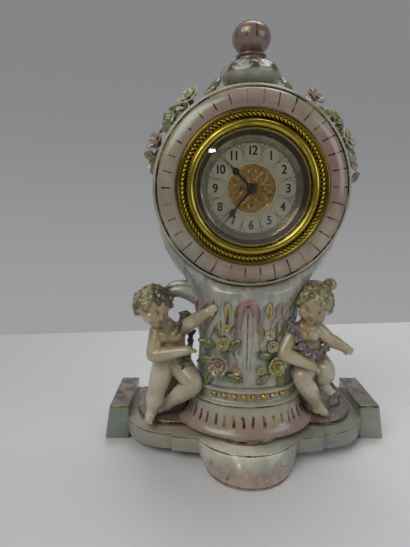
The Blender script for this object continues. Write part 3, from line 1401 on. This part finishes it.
def face_paint(name, put, materials):
    """Eyes, lids, brows and lips as small painted pieces set into the head."""
    made = []
    start()
    whites = [(put(side * 3.15, -8.05, -0.45), 1.28) for side in (-1, 1)]
    eyes = clay(name + "_eyes", whites, voxel=0.0002, smooth=2)
    piece(eyes, name + "_eyes", materials["eye"], angle=80)
    iris = clay(name + "_iris", [(put(side * 3.2, -8.98, -0.5), 0.5) for side in (-1, 1)],
                voxel=0.00015, smooth=1)
    piece(iris, name + "_iris", materials["iris"], angle=80)
    for side in (-1, 1):
        lid = [put(side * (3.15 + x), -9.2 + 0.11 * x * x, -0.1 + 0.42 * math.cos(x * 0.95))
               for x in (-1.35, -0.9, -0.45, 0, 0.45, 0.9, 1.35)]
        made.append(tube("lid", lid, 0.16, taper=lambda t: 0.45 + math.sin(math.pi * t)))
        brow = [put(side * (3.2 + x), -9.05 + 0.13 * x * x, 1.75 - 0.13 * x * x)
                for x in (-1.6, -0.8, 0, 0.8, 1.6)]
        made.append(tube("brow", brow, 0.17, taper=lambda t: 0.4 + math.sin(math.pi * t)))
    piece(made, name + "_brows", materials["brow"], angle=80)
    lips = string([put(-1.45, -8.95, -5.2), put(-0.6, -9.62, -5.1), put(0, -9.62, -5.25),
                   put(0.6, -9.62, -5.1), put(1.45, -8.95, -5.2)], [0.2, 0.42, 0.36, 0.42, 0.2], 4)
    lips += string([put(-1.1, -9.05, -5.5), put(0, -9.45, -5.95), put(1.1, -9.05, -5.5)],
                   [0.2, 0.45, 0.2], 4)
    mouth = clay(name + "_lips", lips, voxel=0.00018, smooth=2)
    piece(mouth, name + "_lips", materials["lip"], angle=80)


def hair_clay(put, rng, bun):
    """Locks laid round the skull: short curls, or waves drawn up into a bun."""
    balls = [(put(0, 1.6, 2.0), 9.3)]
    golden = math.pi * (3 - math.sqrt(5))
    count = 110 if bun else 84
    for i in range(count):
        z = 1 - 1.72 * (i + 0.5) / count
        r = math.sqrt(1 - z * z)
        a = golden * i
        x, y = r * math.cos(a), r * math.sin(a)
        line = 0.42 - 0.5 * abs(x) - 0.25 * max(0.0, abs(x) - 0.6)
        if y < -0.2 and z < line:
            continue
        if y < 0.25 and z < -0.35:
            continue
        size = rng.uniform(1.35, 2.3) if bun else rng.uniform(1.8, 2.9)
        reach = 9.45 if bun else 9.7
        here = put(x * reach, y * reach + 0.8, z * reach + 1.4)
        turn = rng.uniform(0, TURN)
        balls.append((here, size, (1.25, 0.85, 1.0), (rng.uniform(-0.6, 0.6), turn, turn * 0.5)))
        if not bun and rng.random() < 0.55:
            balls.append((put(x * (reach + 1.3), y * (reach + 1.3) + 0.8, z * (reach + 1.3) + 1.6),
                          size * 0.62))
    if bun:
        middle = (4.6, 2.5, 13.4)
        balls += [(put(*middle), 3.7)]
        for k in range(12):
            a = TURN * k / 12
            balls.append((put(middle[0] + 2.5 * math.cos(a), middle[1] + 2.2 * math.sin(a),
                              middle[2] + 0.9 * math.sin(2 * a)), 1.55))
        for k in range(7):
            a = math.radians(200 + 20 * k)
            balls.append((put(8.3 * math.cos(a), -5.4 + 1.2 * abs(math.cos(a)),
                              5.6 + 1.8 * math.sin(math.pi * k / 6)), 1.7))
    return balls


def blush_values(obj, put, places):
    """Rosy cheeks, knees and elbows."""
    spots = [(put(-4.6, -7.4, -3.3), 2.5, 0.85), (put(4.6, -7.4, -3.3), 2.5, 0.85)]
    spots += [(places[k], 4.6, 0.3) for k in (6, 9, 12, 16)]
    spots += [(put(0, -7, -1), 9.5, 0.62), (places[1], 10.0, 0.5), (places[2], 9.0, 0.42)]
    out = []
    for vertex in obj.data.vertices:
        p = vertex.co / MM
        out.append(max(share * math.exp(-((p - at).length / reach) ** 2) for at, reach, share in spots))
    return out


def garland_pieces(name, at, shares, rng, fruit, materials):
    """Bunches of small fruit or blossoms with leaves along a path."""
    path = curve_points(figure_places(at, shares), 5)
    start()
    bunches, leaves = [], []
    for i, here in enumerate(path):
        for _ in range(5 if fruit else 3):
            off = Vector((rng.gauss(0, 1), rng.gauss(0, 1), rng.gauss(0, 1))).normalized()
            bpy.ops.mesh.primitive_ico_sphere_add(
                subdivisions=2, radius=rng.uniform(0.95, 1.45) * MM,
                location=(here + off * rng.uniform(1.0, 2.1)) * MM)
            bunches.append(bpy.context.object)
        if i % 4 == 1:
            out = Vector((rng.uniform(-0.6, 0.6), -1, rng.uniform(-0.3, 0.6))).normalized()
            leaves.append(spray_leaf(here + out * 1.4, out, rng.uniform(4.2, 5.6),
                                     rng.uniform(0, TURN), rng, 0.2))
        if not fruit and i % 3 == 1:
            parts, button, calyx = petal_flower(here + Vector((0, -1.8, 0.4)), (0.1, -1, 0.25),
                                                rng.uniform(2.2, 2.9), 5, rng.uniform(0, 1), rng)
            bunches += parts + [button]
            leaves.append(calyx)
    stem = tube("stem", path, 1.5)
    piece(bunches, name + "_fruit", materials["garland"], stands_for=(name,), angle=70)
    piece(leaves + [stem], name + "_leaves", materials["green"], angle=70)


def build_figure(name, at, shares, turn, garland, bun, seed, materials):
    rng = random.Random(seed)
    places = figure_places(at, shares)
    pelvis, belly, chest, neck, crown = places[:5]
    put = head_frame(crown, turn)
    balls = [(pelvis, 9.6, (1, 0.92, 0.95)), (pelvis.lerp(belly, 0.5), 9.2, (1, 0.94, 1)),
             (belly + Vector((0, -0.8, 0)), 9.2, (1, 0.95, 1)),
             (belly.lerp(chest, 0.5), 9.0, (1.02, 0.9, 1)), (chest, 9.3, (1.06, 0.84, 0.95))]
    balls += string([chest.lerp(neck, 0.55), neck, neck.lerp(crown, 0.4)], [6.2, 4.5, 4.4], 4)
    for first in (5, 8):
        shoulder, elbow, wrist = places[first:first + 3]
        balls += string([chest.lerp(shoulder, 0.4), shoulder], [6.4, 5.0], 4)
        balls += limb(shoulder, elbow, wrist, 5.2, 4.5, 3.1, 0.98)
        balls += hand_clay(elbow, wrist, (0, 0, 1) if first == 5 else (0, -1, 0.3), 3.1)
    for first in (11, 15):
        hip, knee, ankle, toe = places[first:first + 4]
        balls += [(hip, 8.0)] + limb(hip, knee, ankle, 8.2, 6.1, 3.9, 1.02)
        balls += foot_clay(ankle, toe, 3.7)
    for side in (-1, 1):
        balls.append((pelvis + Vector((side * 3.6, 3.4, -1.6)), 6.0))
        balls.append((chest + Vector((side * 3.4, -4.2, 0.2)), 4.6))
    balls += grown(head_clay(put))
    body = clay(name + "_figure", balls, smooth=5)
    for vertex in body.data.vertices:
        vertex.co.z = max(vertex.co.z, (TERRACE_TOP - 0.2) * MM)
    keep_marks(body, "blush", blush_values(body, put, places), hollow_values(body, 10, 0.42))
    nodes = ["torso", "head", "right_arm", "left_arm", "right_leg", "left_leg"]
    piece(body, name + "_figure", materials["skin"],
          stands_for=[name + "_" + n for n in nodes], angle=80)
    hair = clay(name + "_hair", grown(hair_clay(put, rng, bun)), voxel=0.0006, smooth=6 if bun else 9)
    piece(hair, name + "_hair", materials["hair"], angle=80)
    face_paint(name, put, materials)
    garland_pieces(name + "_garland", at, garland, rng, not bun, materials)


class CLOCK_OT_figures(bpy.types.Operator):
    """Models the two cherubs with their hair and garlands"""
    bl_idname = "clock.figures"
    bl_label = "Figures"

    def execute(self, context):
        def small(name, paint, cloud=0.1, scale=200.0):
            return glazed(name, paint, None, cloud, scale)

        shared = {
            "skin": small("glaze_skin", skin_paint, 0.25, 60.0),
            "eye": small("glaze_eye", plain_white),
            "iris": small("glaze_iris", flecked((0.05, 0.07, 0.1), (0.12, 0.1, 0.08), 900.0)),
            "brow": small("glaze_brow", flecked((0.08, 0.04, 0.015), (0.16, 0.09, 0.04), 700.0)),
            "lip": small("glaze_lip", flecked((0.30, 0.08, 0.05), (0.36, 0.14, 0.1), 700.0)),
            "green": small("leaf_garland", leaf_shape_paint((0.10, 0.115, 0.03), (0.17, 0.165, 0.07)),
                           0.3, 90.0),
        }
        dark_lock = (-0.0500, -0.0115, 0.1030)
        boy = dict(
            shared,
            hair=small("glaze_hair_boy", hair_paint((0.38, 0.325, 0.15), (0.14, 0.11, 0.035), dark_lock),
                       0.15, 90.0),
            garland=small("glaze_grapes", garland_paint((0.075, 0.028, 0.05), (0.12, 0.085, 0.045)),
                          0.3, 90.0))
        girl = dict(
            shared,
            hair=small("glaze_hair_girl", hair_paint((0.34, 0.29, 0.13), (0.14, 0.105, 0.035)),
                       0.15, 90.0),
            garland=small("glaze_blossom", garland_paint((0.11, 0.06, 0.12), (0.23, 0.15, 0.19)),
                          0.3, 90.0))
        build_figure("boy", BOY_AT, BOY_PLACES, (8, 12, 42), BOY_GARLAND, False, 7, boy)
        build_figure("girl", GIRL_AT, GIRL_PLACES, (6, 14, -14), GIRL_GARLAND, True, 19, girl)
        return {"FINISHED"}


# Bezel, dial and hands
def bezel_tone(sh, p):
    """Polished inside, darker towards the flange and in the grooves beside the beads."""
    _, reach = about_dial(sh, p)
    dark = sh.mix(sh.noise(p, 50.0, 3.0), (0.14, 0.095, 0.015), (0.24, 0.17, 0.025))
    shade = sh.mix(sh.step(reach, 0.0362, 0.0368), colour("brass"), dark)
    bright = sh.window(reach, 0.0376, 0.0399, 0.0003)
    y = sh.axes(p)[1]
    return sh.mix(sh.times(bright, sh.step(y, -0.0186, -0.0190)), shade, colour("brass"))


def slope_tone(sh, p):
    """Paler by the dial, brown towards the bezel."""
    _, reach = about_dial(sh, p)
    return sh.mix(sh.step(reach, 0.0284, 0.0289), (0.27, 0.24, 0.15), (0.12, 0.08, 0.022))


def glass_material():
    material, sh, bsdf = new_material("clear_glass")
    p = sh.place()
    haze = sh.noise(p, 60.0, 4.0)
    sh.fill(bsdf, Base_Color=sh.mix(haze, (0.96, 0.98, 0.97), (0.99, 1.0, 0.99)),
            Roughness=sh.scaled(sh.step(haze, 0.45, 0.7), 0.05, 0.01),
            Normal=sh.bump(sh.noise(p, 40.0, 2.0), 0.00005, 0.3), Transmission_Weight=1.0, IOR=1.45)
    return material


class CLOCK_OT_bezel(bpy.types.Operator):
    """Turns the bezel, lays its slanted beads, and makes the sloping ring and the glass"""
    bl_idname = "clock.bezel"
    bl_label = "Bezel"

    def execute(self, context):
        profile = [(30.9, 12.6), (31.5, 12.6), (31.5, 16.5), (42.5, 16.5)]
        profile += arc((41.3, 17.6), 1.2, 0, 95, 5)
        profile += [(40.9, 18.6), (40.4, 18.25), (40.0, 17.9), (39.3, 17.8), (38.3, 17.8),
                    (37.6, 17.9), (37.2, 18.2), (36.9, 18.7), (36.6, 18.55), (36.3, 18.3)]
        profile += arc((34.4, 19.45), 1.85, -20, 190, 14)
        profile += [(32.4, 18.6), (32.05, 18.2), (32.05, GLASS_SEAT), (31.0, GLASS_SEAT)]
        ring = turned("bezel_ring", profile, 160, facing=True)
        start()
        beads = []
        count = sizes().bead_count
        for i in range(count):
            a = TURN * i / count
            at = Vector((ROPE_REACH * math.cos(a), -ROPE_FACE, AXIS_H + ROPE_REACH * math.sin(a)))
            bpy.ops.mesh.primitive_ico_sphere_add(subdivisions=2, radius=MM, location=at * MM,
                                                  scale=(1.35, 0.72, 0.7),
                                                  rotation=(0, -a - math.radians(ROPE_SLANT), 0))
            beads.append(bpy.context.object)
        rope = settle(joined(beads, "rope"))
        piece([ring, rope], "bezel_model",
              metal("brass_bezel", bezel_tone, (0.07, 0.045, 0.01, 1), 0.5, 0.14, 90.0),
              stands_for=("bezel",), angle=45)

        slope = [(25.7, 12.62), (25.75, 12.95), (26.2, 13.15), (28.5, 13.4), (29.0, 13.9),
                 (30.0, 15.4), (30.95, 17.2), (31.4, 17.2), (31.4, 16.9), (30.4, 15.2), (29.2, 12.62)]
        obj = turned("slope", slope, 128, facing=True)
        piece(obj, "dial_slope", metal("nickel_slope", slope_tone, (0.08, 0.07, 0.05, 1),
                                       0.6, 0.22, 160.0), angle=50)

        reach, rise = 32.0, 3.4
        dome = (reach ** 2 + rise ** 2) / (2 * rise)
        rings = (0, 3, 6, 9, 12, 15, 18, 21, 24, 27, 29.5, 31.2, 31.9)

        def pane(r, top):
            return (r, GLASS_SEAT + top - dome + math.sqrt(dome ** 2 - r * r))

        section = [pane(r, rise + 1.2) for r in rings] + [pane(r, rise) for r in reversed(rings)]
        obj = turned("glass", section, 96, facing=True)
        piece(obj, "glass_model", glass_material(), stands_for=("glass",), angle=50)
        return {"FINISHED"}


def outline(name, points, front, thick):
    """A flat shape cut from sheet: points are (side, up) from the dial's middle, front is its face."""
    start()
    bpy.ops.mesh.primitive_circle_add(vertices=len(points), radius=1, fill_type="NGON")
    obj = bpy.context.object
    obj.name = name
    for vertex, (x, up) in zip(obj.data.vertices, points):
        vertex.co = Vector((x, -front, AXIS_H + up)) * MM
    edit_all(obj)
    bpy.ops.mesh.extrude_region_move(TRANSFORM_OT_translate={"value": (0, thick * MM, 0)})
    bpy.ops.mesh.select_all(action="SELECT")
    bpy.ops.mesh.normals_make_consistent(inside=False)
    edit_end()
    modify(obj, "BEVEL", width=0.06 * MM, segments=2, limit_method="ANGLE",
           angle_limit=math.radians(60))
    return obj


def clock_turn(points, degrees):
    """Turns (side, up) points clockwise from twelve."""
    a = math.radians(degrees)
    return [(x * math.cos(a) + y * math.sin(a), -x * math.sin(a) + y * math.cos(a)) for x, y in points]


def hand_points(length, hub, stem, spade):
    """Right half of a spade hand from hub to tip, then mirrored."""
    rows = [(hub * math.sin(math.radians(a)), hub * math.cos(math.radians(a)))
            for a in range(180, 20, -16)]
    rows += [(stem, hub * 1.1), (stem * 0.72, length * 0.4), (stem * 0.62, length * 0.5),
             (stem * 1.1, length * 0.53), (spade * 0.8, length * 0.56), (spade, length * 0.6),
             (spade * 0.94, length * 0.64), (spade * 0.5, length * 0.69), (stem * 0.5, length * 0.74),
             (stem * 0.3, length * 0.85), (0.09, length)]
    return rows + [(-x, y) for x, y in reversed(rows) if x > 1e-6]


def dial_paint(sh, p):
    _, reach = about_dial(sh, p)
    age = sh.patches(p, 60.0, 4.0, 0.4, 0.7)
    shade = sh.mix(sh.times(age, 0.5), colour("dial"), (0.54, 0.48, 0.30))
    ring = sh.window(reach, 0.0250, 0.0258, 0.00008)
    shade = sh.mix(sh.times(ring, 0.5), shade, (0.24, 0.23, 0.14))
    return sh.mix(sh.step(reach, 0.0257, 0.0259), shade, (0.12, 0.11, 0.08))


def numeral(text, at, size):
    start()
    bpy.ops.object.text_add(location=(0, 0, 0))
    obj = bpy.context.object
    obj.data.body = text
    obj.data.size = size * MM
    obj.data.align_x = "CENTER"
    obj.data.align_y = "CENTER"
    obj.data.extrude = 0.00002
    obj.data.offset = 0.00009
    obj.data.space_character = 0.92
    only(obj)
    bpy.ops.object.convert(target="MESH")
    obj = bpy.context.object
    obj.data.transform(Matrix.Translation(at * MM) @ Matrix.Rotation(math.pi / 2, 4, "X")
                       @ Matrix.Diagonal((0.86, 1, 1, 1)))
    return obj


class CLOCK_OT_dial(bpy.types.Operator):
    """Prints the dial, embosses its gilt centre and cuts the two hands"""
    bl_idname = "clock.dial"
    bl_label = "Dial"

    def execute(self, context):
        dress("dial", glazed("dial_card", dial_paint, None, 0.15, 90.0, film=False))
        prints, motifs = [], []

        def on_dial(degrees, reach, side=0.0):
            (x, y), = clock_turn([(side, reach)], degrees)
            return Vector((x, -DIAL_FACE, AXIS_H + y))

        for hour in range(1, 13):
            a = hour * 30
            for side in (-0.14, 0.14):
                at = on_dial(a, NUMBERS_REACH) + Vector((side, 0, 0))
                prints.append(numeral(str(hour), at, NUMBERS_SIZE))
            arch = [on_dial(a, 20.3 + 4.9 * math.cos(t), 5.0 * math.sin(t))
                    for t in [math.radians(-150 + 300 * k / 20) for k in range(21)]]
            prints.append(tube("arch", arch, 0.11, rings=4))
            wide = [on_dial(a, 20.9 + 5.1 * math.cos(t), 5.35 * math.sin(t))
                    for t in [math.radians(-62 + 124 * k / 12) for k in range(13)]]
            motifs.append(tube("arch", wide, 0.09, rings=4))
            for reach, size in ((24.6, 0.55), (23.2, 0.42), (16.2, 0.4)):
                at = on_dial(a + 15, reach)
                start()
                bpy.ops.mesh.primitive_ico_sphere_add(subdivisions=1, radius=size * MM,
                                                      location=at * MM, scale=(1, 0.12, 1))
                motifs.append(settle(bpy.context.object))
            leafy = [on_dial(a + 15 + side, 22.0 + rise) for side, rise in
                     [(-2.2, 1.6), (-0.8, 0.2), (0, -3.4), (0.8, 0.2), (2.2, 1.6)]]
            motifs.append(tube("sprig", leafy, 0.1, rings=4))
        for minute in range(60):
            start()
            dot = 0.3 if minute % 5 == 0 else 0.18
            bpy.ops.mesh.primitive_cylinder_add(vertices=10, radius=dot * MM, depth=0.06 * MM,
                                                location=on_dial(minute * 6, DOTS_REACH) * MM,
                                                rotation=(math.pi / 2, 0, 0))
            prints.append(settle(bpy.context.object))
        for reach in (25.55, 24.95, 15.0):
            ring = [on_dial(4 * k, reach) for k in range(90)]
            prints.append(tube("line", ring, 0.09, closed=True, rings=4))
        ink = glazed("dial_ink", flecked((0.012, 0.012, 0.01), (0.05, 0.045, 0.035), 500.0, 2.0),
                     None, 0.02, 90.0, film=False)
        sprig = glazed("dial_sprig", flecked((0.06, 0.065, 0.02), (0.17, 0.14, 0.05), 500.0, 2.0),
                       None, 0.05, 90.0, film=False)
        piece(prints, "dial_print", ink, angle=30)
        piece(motifs, "dial_sprigs", sprig, angle=30)

        gilt = metal("gilt_disc", (0.5, 0.3, 0.07, 1), (0.10, 0.05, 0.015, 1), 0.85, 0.3, 500.0, 1.0)
        dress("gilt_centre", gilt)
        raised = []

        def on_gilt(degrees, reach):
            (x, y), = clock_turn([(0, reach)], degrees)
            return Vector((x, -GILT_FACE, AXIS_H + y))

        for reach, thick in ((13.15, 0.34), (12.35, 0.16), (4.2, 0.2)):
            raised.append(tube("rim", [on_gilt(4 * k, reach) for k in range(90)], thick, closed=True))
        for k in range(8):
            base = 45 * k
            for side in (-1, 1):
                scroll = [on_gilt(base + side * (2 + 15 * math.sin(math.pi * t)
                                                 + 5 * math.sin(2 * math.pi * t)),
                                  5.0 + 6.2 * t - 1.2 * math.sin(2 * math.pi * t))
                          for t in [j / 14 for j in range(15)]]
                raised.append(tube("scroll", scroll, 0.3, taper=lambda t: 0.4 + 0.8 * math.sin(
                    math.pi * min(1, t + 0.1))))
                curl = [on_gilt(base + side * (11 + (4.5 - 4 * t) * math.cos(7.5 * t)),
                                9.6 + (1.6 - 1.4 * t) * math.sin(7.5 * t))
                        for t in [j / 14 for j in range(15)]]
                raised.append(tube("curl", curl, 0.22))
            for reach, size in ((11.4, 0.42), (7.4, 0.5)):
                start()
                bpy.ops.mesh.primitive_ico_sphere_add(subdivisions=2, radius=size * MM,
                                                      location=on_gilt(base, reach) * MM,
                                                      scale=(1, 0.7, 1))
                raised.append(settle(bpy.context.object))
        piece(raised, "gilt_relief",
              metal("gilt_bright", (0.6, 0.38, 0.09, 1), (0.18, 0.09, 0.025, 1), 0.65, 0.2, 300.0),
              angle=60)

        dark = metal("hand_steel", (0.05, 0.043, 0.037, 1), (0.015, 0.012, 0.01, 1), 0.6, 0.2, 400.0)
        spade = clock_turn(hand_points(28.4, 2.7, 0.72, 1.75), MINUTE_AT)
        minute = outline("minute", spade, HANDS_FACE, 0.4)
        piece(minute, "minute_hand_model", dark, body="hands",
              stands_for=("minute_hand",), angle=30)
        spade = clock_turn(hand_points(21.4, 3.0, 0.8, 2.1), HOUR_AT)
        hour = outline("hour", spade, HANDS_FACE - 1.2, 0.4)
        piece(hour, "hour_hand_model", dark, body="hour_pipe",
              stands_for=("hour_hand",), angle=30)
        start()
        bpy.ops.mesh.primitive_uv_sphere_add(segments=28, ring_count=14, radius=2.5 * MM,
                                             location=Vector((0, -HANDS_FACE, AXIS_H)) * MM,
                                             scale=(1, 0.3, 1))
        piece(bpy.context.object, "hand_collet", dark, body="hands", angle=60)
        return {"FINISHED"}


# Movement
class CLOCK_OT_movement(bpy.types.Operator):
    """Finishes the movement, its can, cover, key and knob"""
    bl_idname = "clock.movement"
    bl_label = "Movement"

    def execute(self, context):
        brass = metal("brass_polished", colour("brass"), (0.2, 0.13, 0.04, 1), 0.45, 0.1, 90.0)
        spun = metal("brass_cover", (0.66, 0.50, 0.20, 1), (0.2, 0.14, 0.06, 1), 0.75, 0.24, 70.0)
        wheels = metal("brass_wheels", (0.72, 0.55, 0.22, 1), (0.25, 0.17, 0.07, 1), 0.3, 0.22, 200.0)
        steel = metal("steel_bright", (0.56, 0.57, 0.58, 1), (0.2, 0.18, 0.16, 1), 0.4, 0.18, 260.0)
        blued = metal("steel_blued", (0.04, 0.06, 0.16, 1), (0.02, 0.02, 0.05, 1), 0.4, 0.2, 260.0)
        finishes = (
            (spun, ("movement_can", "back_cover")),
            (wheels, ("front_plate", "back_plate", "great_wheel", "centre_wheel", "third_wheel",
                      "fourth_wheel", "escape_wheel", "balance_wheel", "balance_cock", "minute_wheel",
                      "hour_wheel")),
            (steel, ("case_screws", "click", "winding_arbor", "centre_arbor", "pallet_lever",
                     "regulator")),
            (blued, ("mainspring", "hairspring")),
            (brass, ("winding_key", "set_knob")),
        )
        for material, nodes in finishes:
            for node in nodes:
                dress(node, material)
        return {"FINISHED"}


# Stage
def glow(name, level, place, aim, size, tint=(1, 1, 1)):
    data = bpy.data.lights.new(name, "AREA")
    data.shape = "RECTANGLE"
    data.size, data.size_y = size
    data.energy = level
    data.color = tint
    lamp = bpy.data.objects.new(name, data)
    bpy.context.scene.collection.objects.link(lamp)
    lamp.location = place
    lamp.rotation_mode = "QUATERNION"
    lamp.rotation_quaternion = (Vector(aim) - Vector(place)).to_track_quat("-Z", "Y")
    return lamp


class CLOCK_OT_stage(bpy.types.Operator):
    """Sets the camera, the pale table and wall, and soft studio lamps"""
    bl_idname = "clock.stage"
    bl_label = "Stage"

    def execute(self, context):
        scene = context.scene
        scene.view_settings.view_transform = "Standard"
        data = bpy.data.cameras.new("camera")
        data.sensor_width = SENSOR_MM
        data.lens = FOCAL_PX / FRAME_PX * SENSOR_MM
        data.clip_start, data.clip_end = 0.01, 20
        camera = bpy.data.objects.new("camera", data)
        scene.collection.objects.link(camera)
        camera.location = CAMERA_AT
        camera.rotation_euler = (math.radians(90 - CAMERA_TILT), 0, math.radians(CAMERA_TURN))
        scene.camera = camera

        start()
        bpy.ops.mesh.primitive_plane_add(size=5, location=(0, 0, 0))
        floor = settle(context.object)
        floor.name = "table"
        material, sh, bsdf = new_material("table_top")
        p = sh.place()
        tone = sh.noise(p, 3.0, 2.0)
        left = sh.mix(tone, (0.555, 0.56, 0.575), (0.585, 0.59, 0.60))
        right = (0.845, 0.85, 0.86)
        sh.fill(bsdf, Base_Color=sh.mix(sh.step(sh.axes(p)[0], -0.3, 0.3), left, right),
                Roughness=sh.scaled(tone, 0.1, 0.42))
        floor.data.materials.append(material)

        start()
        bpy.ops.mesh.primitive_plane_add(size=4, location=(0, 0.2405, 2.0),
                                         rotation=(math.pi / 2, 0, 0.103))
        wall = settle(context.object)
        wall.name = "wall"
        paper, sh, unlit = new_material("wall_paint")
        tree = paper.node_tree
        tree.nodes.remove(unlit)
        x, _, z = sh.axes(sh.place())
        fade = sh.step(sh.scaled(x, 0.05, z), 0.0, 0.3)
        shade = sh.mix(fade, (0.335, 0.34, 0.35), (0.238, 0.238, 0.25))
        lit = tree.nodes.new("ShaderNodeEmission")
        sh.feed(lit.inputs[0], shade)
        clear = tree.nodes.new("ShaderNodeBsdfTransparent")
        path = tree.nodes.new("ShaderNodeLightPath")
        facing = tree.nodes.new("ShaderNodeNewGeometry")
        bent = sh.larger(path.outputs["Is Glossy Ray"], path.outputs["Is Transmission Ray"])
        seen = sh.larger(path.outputs["Is Camera Ray"], bent)
        seen = sh.times(seen, sh.math("SUBTRACT", 1.0, facing.outputs["Backfacing"]))
        both = tree.nodes.new("ShaderNodeMixShader")
        sh.feed(both.inputs[0], seen)
        tree.links.new(clear.outputs[0], both.inputs[1])
        tree.links.new(lit.outputs[0], both.inputs[2])
        tree.links.new(both.outputs[0], tree.nodes["Material Output"].inputs[0])
        wall.data.materials.append(paper)

        world = bpy.data.worlds.new("studio")
        scene.world = world
        world.use_nodes = True
        tree = world.node_tree
        sh = Shader(tree)
        back = tree.nodes["Background"]
        path = tree.nodes.new("ShaderNodeLightPath")
        tone = sh.mix(path.outputs["Is Camera Ray"], (0.15, 0.15, 0.155), (0.24, 0.24, 0.25))
        sh.feed(back.inputs[0], tone)
        back.inputs[1].default_value = 1.0

        middle = (0, 0, 0.12)
        glow("key", 4.0, (-0.5, -0.5, 0.8), middle, (0.7, 0.6), (1.0, 0.98, 0.95))
        glow("spark", 0.1, (-0.235, -0.73, 0.475), (0, 0, 0.15), (0.05, 0.028))
        glow("fill", 1.3, (0.7, -0.45, 0.4), middle, (0.5, 0.5), (0.95, 0.97, 1.0))
        glow("top", 2.6, (0.1, 0.25, 0.9), middle, (0.6, 0.4))
        glow("back", 1.2, (-0.3, 0.8, 0.5), middle, (0.5, 0.5))
        return {"FINISHED"}


class CLOCK_PT_panel(bpy.types.Panel):
    """Lists the clock's sizes, colours and pieces"""
    bl_idname = "CLOCK_PT_panel"
    bl_label = "Porcelain Clock"
    bl_space_type = "VIEW_3D"
    bl_region_type = "UI"
    bl_category = "Clock"

    def draw(self, context):
        layout = self.layout
        for group in (context.scene.clock_sizes, context.scene.clock_colours):
            column = layout.column(align=True)
            for name in group.__annotations__:
                column.prop(group, name)
        for kind in OPERATORS:
            layout.operator(kind.bl_idname)


OPERATORS = (CLOCK_OT_stage, CLOCK_OT_base, CLOCK_OT_column, CLOCK_OT_drum, CLOCK_OT_flowers,
             CLOCK_OT_figures, CLOCK_OT_bezel, CLOCK_OT_dial, CLOCK_OT_movement)
CLASSES = (ClockSizes, ClockColours) + OPERATORS + (CLOCK_PT_panel,)


def register():
    for kind in CLASSES:
        bpy.utils.register_class(kind)
    bpy.types.Scene.clock_sizes = bpy.props.PointerProperty(type=ClockSizes)
    bpy.types.Scene.clock_colours = bpy.props.PointerProperty(type=ClockColours)


def unregister():
    del bpy.types.Scene.clock_colours
    del bpy.types.Scene.clock_sizes
    for kind in reversed(CLASSES):
        bpy.utils.unregister_class(kind)


def main():
    register()
    for kind in OPERATORS:
        group, action = kind.bl_idname.split(".")
        getattr(getattr(bpy.ops, group), action)()


if __name__ == "__main__":
    main()
